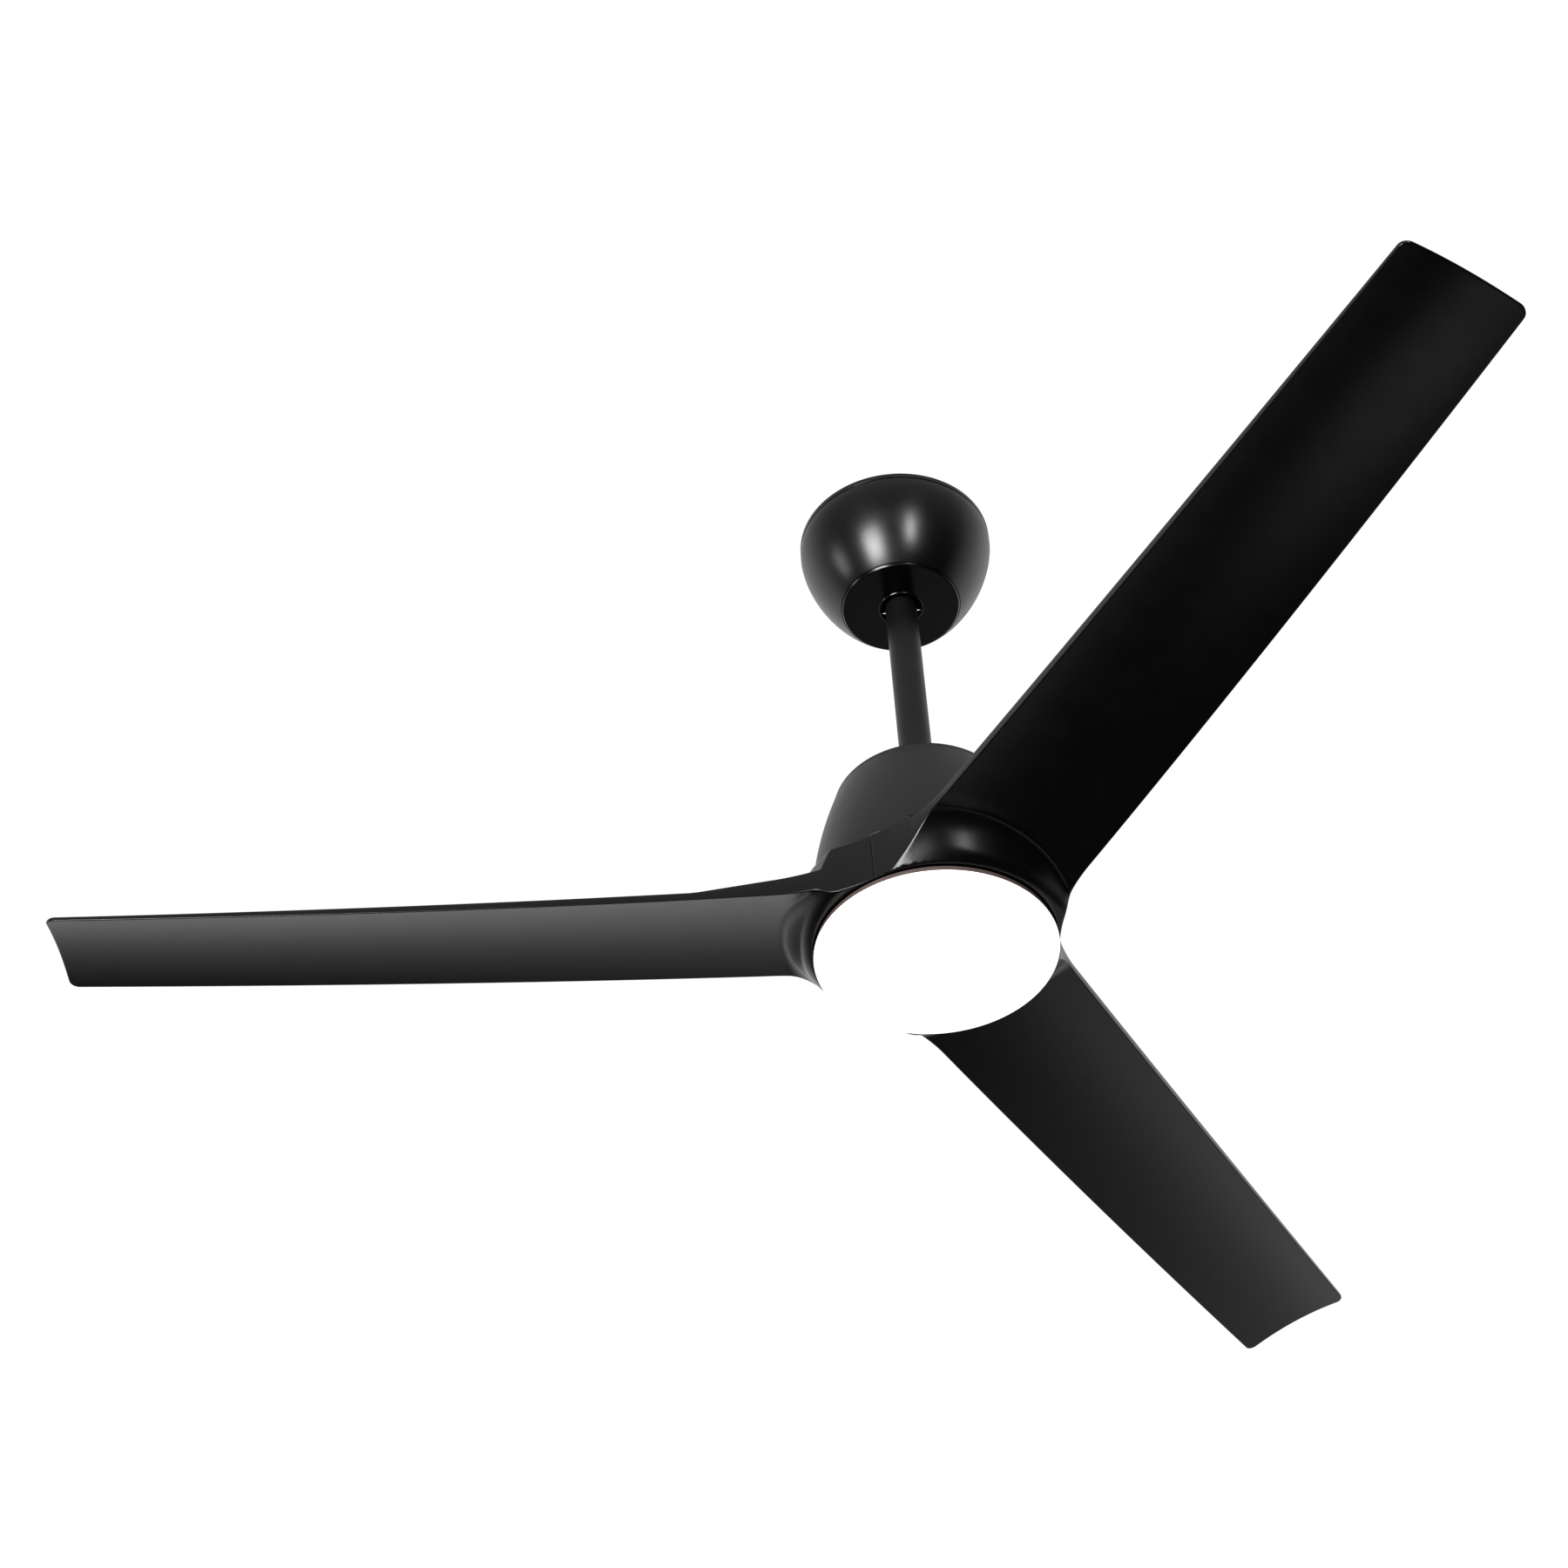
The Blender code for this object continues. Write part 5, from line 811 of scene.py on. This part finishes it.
    def surface(self) -> tuple[Array, Array]:
        """Closed surface of the blade along +X: two grids, the wall round them, the inner flange.

        Returns:
            Points (n, 3) and quads.
        """
        x, y = self.plan()
        top, low = self.levels(x, y)
        under_flange = self.ring_top - self.flange_thickness
        columns = x.shape[1]
        even = np.linspace(-1, 1, columns)
        for radius, level in ((self.bore - SOFT, under_flange),
                              (self.bore - self.flange_step, under_flange),
                              (self.flange_radius + self.flange_bevel, under_flange),
                              (self.flange_radius, under_flange + SOFT)):
            angle = even * (self.half_pitch - self.split_gap / radius)
            x = np.vstack([x, radius * np.cos(angle)])
            y = np.vstack([y, radius * np.sin(angle)])
            top = np.vstack([top, np.full(columns, self.ring_top)])
            low = np.vstack([low, np.full(columns, level)])
        top[-1] -= SOFT
        rows = len(x)
        points = np.concatenate([np.stack([x, y, top], axis=-1).reshape(-1, 3),
                                 np.stack([x, y, low], axis=-1).reshape(-1, 3)])
        number = np.arange(rows * columns).reshape(rows, columns)
        below = number + rows * columns
        strips = [(number[:-1, :-1], number[:-1, 1:], number[1:, 1:], number[1:, :-1]),
                  (below[:-1, :-1], below[1:, :-1], below[1:, 1:], below[:-1, 1:])]
        for a, b in ((number[:, 0], below[:, 0]), (below[:, -1], number[:, -1]),
                     (below[0], number[0]), (number[-1], below[-1])):
            strips.append((a[:-1], a[1:], b[1:], b[:-1]))
        quads = np.concatenate([np.stack(s, axis=-1).reshape(-1, 4) for s in strips])
        return points, quads

    def build(self) -> None:
        """Make the three blades, each turned about the fan's axis in its mesh."""
        points, quads = self.surface()
        for index in range(self.count):
            turn = math.radians(self.first_angle) + 2 * self.half_pitch * index
            spin = np.array([[math.cos(turn), math.sin(turn), 0],
                             [-math.sin(turn), math.cos(turn), 0], [0, 0, 1]])
            make_piece(f"fan_blade_{index + 1}", points @ spin, quads, NO_TRIANGLES,
                       body=self.body, stands_for=f"blade_{index + 1}")


# ---- Light
@dataclass
class Light:
    """Bezel under the hub and the opal diffuser that twists into it."""

    radius: float = 0.0920
    bezel_inset: float = 0.0005
    bezel_top: float = -0.4568
    bezel_bottom: float = -0.4609
    bezel_radius: float = 0.0784
    bezel_bore: float = 0.0760
    bezel_rise: float = 0.0140
    slip: float = 0.0010
    gap: float = 0.0003
    wall: float = 0.0018
    rim: float = 0.0011
    roll: float = 0.0008
    dome: float = 0.0028
    skirt: float = 0.0099
    lug_height: float = 0.0020
    lug_angle: float = 6.0
    twist: float = 15.0
    slot_margin: float = 1.5
    slot_floor: float = 0.0002
    lugs: int = 3
    first_lug: float = 90.0
    column_step: float = 2.5
    sector_edge: float = 0.02
    step_edge: float = 0.00002
    face_rows: int = 29
    back_rows: int = 19
    roll_steps: int = 7

    def sector_turns(self, first: float, last: float) -> Array:
        """Columns round a full turn with extra ones beside both ends of each lug's sector."""
        starts = self.first_lug + np.arange(self.lugs) * 360 / self.lugs
        ends = np.array([first - self.sector_edge, first, last, last + self.sector_edge])
        sides = (starts[:, None] + ends).ravel()
        even = np.arange(0.5, 360, self.column_step)
        return np.unique(np.round(np.radians(np.concatenate([even, sides % 360])), 7))

    def in_sector(self, turns: Array, first: float, last: float) -> Array:
        """1 on the columns inside the lugs' sectors and 0 elsewhere."""
        slack = self.sector_edge / 20
        away = (np.degrees(turns) - self.first_lug - first + slack) % (360 / self.lugs)
        return (away <= last - first + 2 * slack).astype(float)

    def revolve_with_lugs(self, outline: Array, depth: Array, first: float,
                          last: float) -> tuple[Array, Array]:
        """Carry an outline round Z, each point moved out by its depth inside the lugs' sectors."""
        turns = self.sector_turns(first, last)
        return revolve(outline, turns, depth[:, None] * self.in_sector(turns, first, last))

    def dome_points(self, out: Array, edge_level: float) -> Array:
        """Points on the shallow dome of the face: edge_level - dome * (1 - (out / radius) ** 2)."""
        return np.stack([out, edge_level - self.dome * (1 - (out / self.radius) ** 2)], axis=1)

    def make_bezel(self) -> None:
        """Bezel: flange in sight, and an upstand whose bore has three recesses for the lugs."""
        outer = self.radius - self.bezel_inset
        lug_top = self.bezel_bottom + self.skirt - self.lug_height / 2
        low, high = lug_top - self.lug_height - self.slip, lug_top + self.slip
        top = self.bezel_top + self.bezel_rise
        slot_levels = (high + self.step_edge, high, low, low - self.step_edge)
        corners = [(self.bezel_bore, top, FINE), *((self.bezel_bore, z, 0.0) for z in slot_levels),
                   (self.bezel_bore, self.bezel_bottom, SOFT), (outer, self.bezel_bottom, ROLLED),
                   (outer, self.bezel_top, SOFT), (self.bezel_radius, self.bezel_top, 0.0),
                   (self.bezel_radius, top, FINE)]
        outline = filleted(corners)
        level = outline[:, 1]
        in_slot = (level < high + SAME_LEVEL) & (level > low - SAME_LEVEL)
        in_slot &= outline[:, 0] < self.bezel_bore + SAME_LEVEL
        depth = in_slot * (self.bezel_radius - self.bezel_bore - self.slot_floor)
        half = self.lug_angle / 2
        points, quads = self.revolve_with_lugs(outline, depth, -half - self.slot_margin,
                                               half + self.twist + self.slot_margin)
        make_piece("light_bezel_ring", points, quads, NO_TRIANGLES, body="stem",
                   stands_for="light_bezel")

    def diffuser_outline(self, bottom: float, top: float) -> tuple[Array, Array]:
        """Half cross-section of the diffuser: face, rim, skirt, and back to the axis.

        Args:
            bottom: Level of the face's edge.
            top: Level of the rim's upper side.

        Returns:
            Points (n, 2), and how far each one moves out at the lugs.
        """
        skirt_radius = self.bezel_bore - self.slip
        skirt_top = self.bezel_bottom + self.skirt
        inner = skirt_radius - self.wall
        lug_top = skirt_top - self.lug_height / 2
        lug_low = lug_top - self.lug_height
        face_out = np.linspace(0, 1, self.face_rows + 1)[1:] * (self.radius - self.roll)
        face = self.dome_points(face_out, bottom)
        roll = np.linspace(-math.pi / 2, 0, self.roll_steps + 1)[1:]
        rim = np.stack([self.radius - self.roll + self.roll * np.cos(roll),
                        bottom + self.roll + self.roll * np.sin(roll)], axis=1)
        side = [[self.radius, top - CRISP], [self.radius - CRISP, top],
                [skirt_radius + SOFT, top], [skirt_radius, top + SOFT]]
        lug = [[skirt_radius, z] for z in (lug_low - self.step_edge, lug_low, lug_top,
                                           lug_top + self.step_edge)]
        lip = [[skirt_radius, skirt_top - FINE], [skirt_radius - FINE, skirt_top],
               [inner + FINE, skirt_top], [inner, skirt_top - FINE]]
        back_out = np.linspace(1, 0, self.back_rows + 1)[:-1] * inner
        back = self.dome_points(back_out, bottom + self.wall)
        outline = np.concatenate([face, rim, side, lug, lip, back])
        start = len(face) + len(rim) + len(side)
        depth = np.zeros(len(outline))
        depth[start + 1:start + 3] = self.bezel_radius - self.slip / 2 - skirt_radius
        return outline, depth

    def make_diffuser(self) -> None:
        """Diffuser: a turned dish with three lugs, closed at the axis by two fans."""
        top = self.bezel_bottom - self.gap
        bottom = top - self.rim
        outline, depth = self.diffuser_outline(bottom, top)
        half = self.lug_angle / 2
        points, quads = self.revolve_with_lugs(outline, depth, -half, half)
        poles = np.array([[0, 0, bottom - self.dome], [0, 0, bottom + self.wall - self.dome]])
        columns = len(points) // len(outline)
        last_row = len(points) - columns
        here = np.arange(columns)
        after = (here + 1) % columns
        low_pole, high_pole = np.full(columns, len(points)), np.full(columns, len(points) + 1)
        fans = np.concatenate([np.stack([after, here, low_pole], axis=1),
                               np.stack([last_row + here, last_row + after, high_pole], axis=1)])
        make_piece("opal_diffuser_dish", np.concatenate([points, poles]), quads[:-columns], fans,
                   body="light_cover", stands_for="diffuser")

    def build(self) -> None:
        """Make the bezel and the diffuser."""
        self.make_bezel()
        self.make_diffuser()


# ---- Carried-over parts
@dataclass
class InnerWorks:
    """CAD parts that keep their own mesh and only get their finish."""

    replaced: tuple[str, ...] = ("canopy_shell", "canopy_trim_ring", "canopy_cover", "downrod",
                                 "motor_housing", "blade_1", "blade_2", "blade_3", "light_bezel",
                                 "diffuser")

    def build(self) -> None:
        """Give every part that is still shown the finish of its slot."""
        for name, part in frame["nodes"].items():
            if name in self.replaced:
                continue
            slot = SLOT_OF[name]
            part.data.materials.clear()
            part.data.materials.append(FINISHES[slot].material())
            log.info("%s: %s", name, slot)


# ---- Studio
@dataclass(frozen=True)
class SoftBox:
    """Rectangular soft light that faces one point.

    Args:
        name: Name of the light.
        azimuth: Direction from the fan in degrees, 0 towards -Y and 90 towards +X.
        elevation: Degrees above the horizon.
        distance: Metres from the fan.
        size: Width and height in metres.
        power: Watts.
    """

    name: str
    azimuth: float
    elevation: float
    distance: float
    size: Span
    power: float

    def build(self, target: Vector) -> None:
        """Make the light and turn it to the target."""
        data = bpy.data.lights.new(self.name, "AREA")
        data.shape = "RECTANGLE"
        data.size, data.size_y = self.size
        data.energy = self.power
        light = bpy.data.objects.new(self.name, data)
        a, e = math.radians(self.azimuth), math.radians(self.elevation)
        away = Vector((math.sin(a) * math.cos(e), -math.cos(a) * math.cos(e), math.sin(e)))
        light.location = target + away * self.distance
        light.rotation_euler = (-away).to_track_quat("-Z", "Y").to_euler()
        light.visible_camera = False
        bpy.context.scene.collection.objects.link(light)


@dataclass
class Studio:
    """Camera below the fan, soft boxes, pale surroundings and a pale floor.

    The surroundings are looked up by height, from 0 straight down to 1 straight up, in
    wall_behind or wall_in_front; strip, looked up from -X to +X, lifts that height.
    """

    place: tuple[float, float, float] = (0.0, -1.7525, -1.9886)
    pitch: float = 0.7752
    yaw: float = -0.0605
    roll: float = -0.0609
    lens: float = 71.43
    sensor: float = 36.0
    floor_level: float = -2.60
    floor_side: float = 16.0
    floor_colour: Colour = (0.92, 0.92, 0.91)
    ceiling_patch_radius: float = 0.0770
    ceiling_patch_level: float = -0.0004
    ceiling_patch_corners: int = 64
    # Near-black ceiling patch: painted shade inside the canopy, not the ceiling's own colour.
    ceiling_shade_colour: Colour = (0.01, 0.01, 0.01)
    sheet_roughness: float = 0.9
    clip: Span = (0.02, 60.0)
    aim: tuple[float, float, float] = (0.0, 0.0, -0.06)
    strength: float = 1.03
    wall_behind: Stops = ((0.0, 0.03), (0.10, 0.01), (0.18, 0.10), (0.26, 0.38), (0.34, 0.58),
                          (0.42, 0.94), (0.50, 1.00), (0.72, 0.92), (1.0, 0.45))
    wall_in_front: Stops = ((0.0, 0.03), (0.30, 0.01), (0.48, 0.04), (0.60, 0.14), (0.75, 0.34),
                            (0.88, 0.50), (1.0, 0.42))
    strip: Stops = ((0.40, 0.0), (0.49, 0.08), (0.57, 0.19), (0.60, 0.13), (0.65, 0.07),
                    (0.70, 0.03), (0.78, 0.0))
    strip_fade: tuple[Span, Span] = ((-0.88, -0.62), (0.25, 1.0))
    front_to_back: Span = (-0.15, 0.45)
    boxes: tuple[SoftBox, ...] = (
        SoftBox("soft_box_left", -27.0, -17.0, 2.6, (0.90, 1.10), 80.0),
        SoftBox("soft_box_right", 21.0, -7.0, 2.6, (0.38, 0.80), 25.0),
        SoftBox("soft_box_side", -76.0, -5.0, 2.6, (0.60, 0.80), 7.0),
        SoftBox("soft_box_below", 180.0, -86.0, 2.53, (0.55, 0.75), 0.8),
    )

    def build_camera(self) -> None:
        """Camera that looks up at the fan, with a little roll."""
        cos, sin = math.cos, math.sin
        ahead = Vector((sin(self.yaw) * cos(self.pitch), cos(self.yaw) * cos(self.pitch),
                        sin(self.pitch)))
        level = Vector((cos(self.yaw), -sin(self.yaw), 0.0))
        up = level.cross(ahead)
        right = level * cos(self.roll) + up * sin(self.roll)
        over = up * cos(self.roll) - level * sin(self.roll)
        data = bpy.data.cameras.new("camera")
        data.sensor_width = self.sensor
        data.lens = self.lens
        data.clip_start, data.clip_end = self.clip
        camera = bpy.data.objects.new("camera", data)
        turn = Matrix((right, over, -ahead)).transposed().to_4x4()
        camera.matrix_world = Matrix.Translation(Vector(self.place)) @ turn
        bpy.context.scene.collection.objects.link(camera)
        bpy.context.scene.camera = camera

    def build_sheet(self, name: str, rim: Array, colour: Colour) -> Object:
        """Flat staged sheet, there from its front and clear from behind.

        Args:
            name: Name of the sheet.
            rim: Corners, counter-clockwise as seen from the front, (n, 3).
            colour: Colour of the front.

        Returns:
            The sheet's object.
        """
        mesh = bpy.data.meshes.new(name)
        mesh.from_pydata(rim.tolist(), [], [tuple(range(len(rim)))])
        sheet = bpy.data.objects.new(name, mesh)
        bpy.context.scene.collection.objects.link(sheet)
        material = bpy.data.materials.new(f"{name}_paint")
        material.use_nodes = True
        tree = material.node_tree
        shader = tree.nodes["Principled BSDF"]
        shader.inputs["Base Color"].default_value = (*colour, 1.0)
        shader.inputs["Roughness"].default_value = self.sheet_roughness
        behind = tree.nodes.new("ShaderNodeNewGeometry").outputs["Backfacing"]
        clear = tree.nodes.new("ShaderNodeBsdfTransparent").outputs["BSDF"]
        choice = tree.nodes.new("ShaderNodeMixShader")
        for socket, source in zip(choice.inputs, (behind, shader.outputs["BSDF"], clear)):
            tree.links.new(source, socket)
        tree.links.new(choice.outputs["Shader"], tree.nodes["Material Output"].inputs["Surface"])
        mesh.materials.append(material)
        return sheet

    def build_floor(self) -> None:
        """Pale floor under the fan, which lights and mirrors leave to the surroundings."""
        half = self.floor_side / 2
        corners = np.array([(-half, -half), (half, -half), (half, half), (-half, half)])
        rim = np.column_stack([corners, np.full(len(corners), self.floor_level)])
        floor = self.build_sheet("floor", rim, self.floor_colour)
        floor.visible_glossy = False
        floor.visible_diffuse = False

    def build_ceiling_patch(self) -> None:
        """Disc where the ceiling closes the canopy, with its front downwards; its near-black colour is
        painted shade inside the canopy.
        """
        turns = -even_turns(self.ceiling_patch_corners)
        rim = np.stack([np.cos(turns), np.sin(turns), 0 * turns], axis=1) * self.ceiling_patch_radius
        rim[:, 2] = self.ceiling_patch_level
        self.build_sheet("ceiling_patch", rim, self.ceiling_shade_colour)

    def build_surroundings(self) -> None:
        """World: white to the eye, and for light pale behind, and dim in front and below."""
        world = bpy.data.worlds.new("studio")
        world.use_nodes = True
        tree = world.node_tree
        tree.nodes.clear()
        direction = tree.nodes.new("ShaderNodeTexCoord").outputs["Generated"]
        parts = tree.nodes.new("ShaderNodeSeparateXYZ")
        tree.links.new(direction, parts.inputs["Vector"])
        x, y, z = (parts.outputs[axis] for axis in "XYZ")
        height = map_range(tree, z, (-1.0, 1.0))
        strip = grey_ramp(tree, map_range(tree, x, (-1.0, 1.0)), self.strip)
        fade = map_range(tree, z, *self.strip_fade)
        lifted = tree.nodes.new("ShaderNodeMath")
        lifted.operation = "MULTIPLY_ADD"
        for socket, value in zip(lifted.inputs, (strip, fade, height)):
            tree.links.new(value, socket)
        back = grey_ramp(tree, lifted.outputs["Value"], self.wall_behind)
        front = grey_ramp(tree, height, self.wall_in_front)
        light = mix_colours(tree, map_range(tree, y, self.front_to_back), front, back)
        seen = tree.nodes.new("ShaderNodeLightPath").outputs["Is Camera Ray"]
        colour = mix_colours(tree, seen, light, (1.0, 1.0, 1.0))
        background = tree.nodes.new("ShaderNodeBackground")
        background.inputs["Strength"].default_value = self.strength
        tree.links.new(colour, background.inputs["Color"])
        output = tree.nodes.new("ShaderNodeOutputWorld")
        tree.links.new(background.outputs["Background"], output.inputs["Surface"])
        bpy.context.scene.world = world

    def build(self) -> None:
        """Make the camera, lights, surroundings and floor."""
        self.build_camera()
        self.build_surroundings()
        self.build_floor()
        self.build_ceiling_patch()
        for box in self.boxes:
            box.build(Vector(self.aim))
        bpy.context.scene.view_settings.view_transform = "Standard"


def main() -> None:
    """Build every sub-assembly in order."""
    logging.basicConfig(level=logging.INFO, format="%(name)s: %(message)s")
    for assembly in (Canopy(), Stem(), Blades(), Light(), InnerWorks(), Studio()):
        log.info("building %s", type(assembly).__name__)
        assembly.build()


if __name__ == "__main__":
    main()
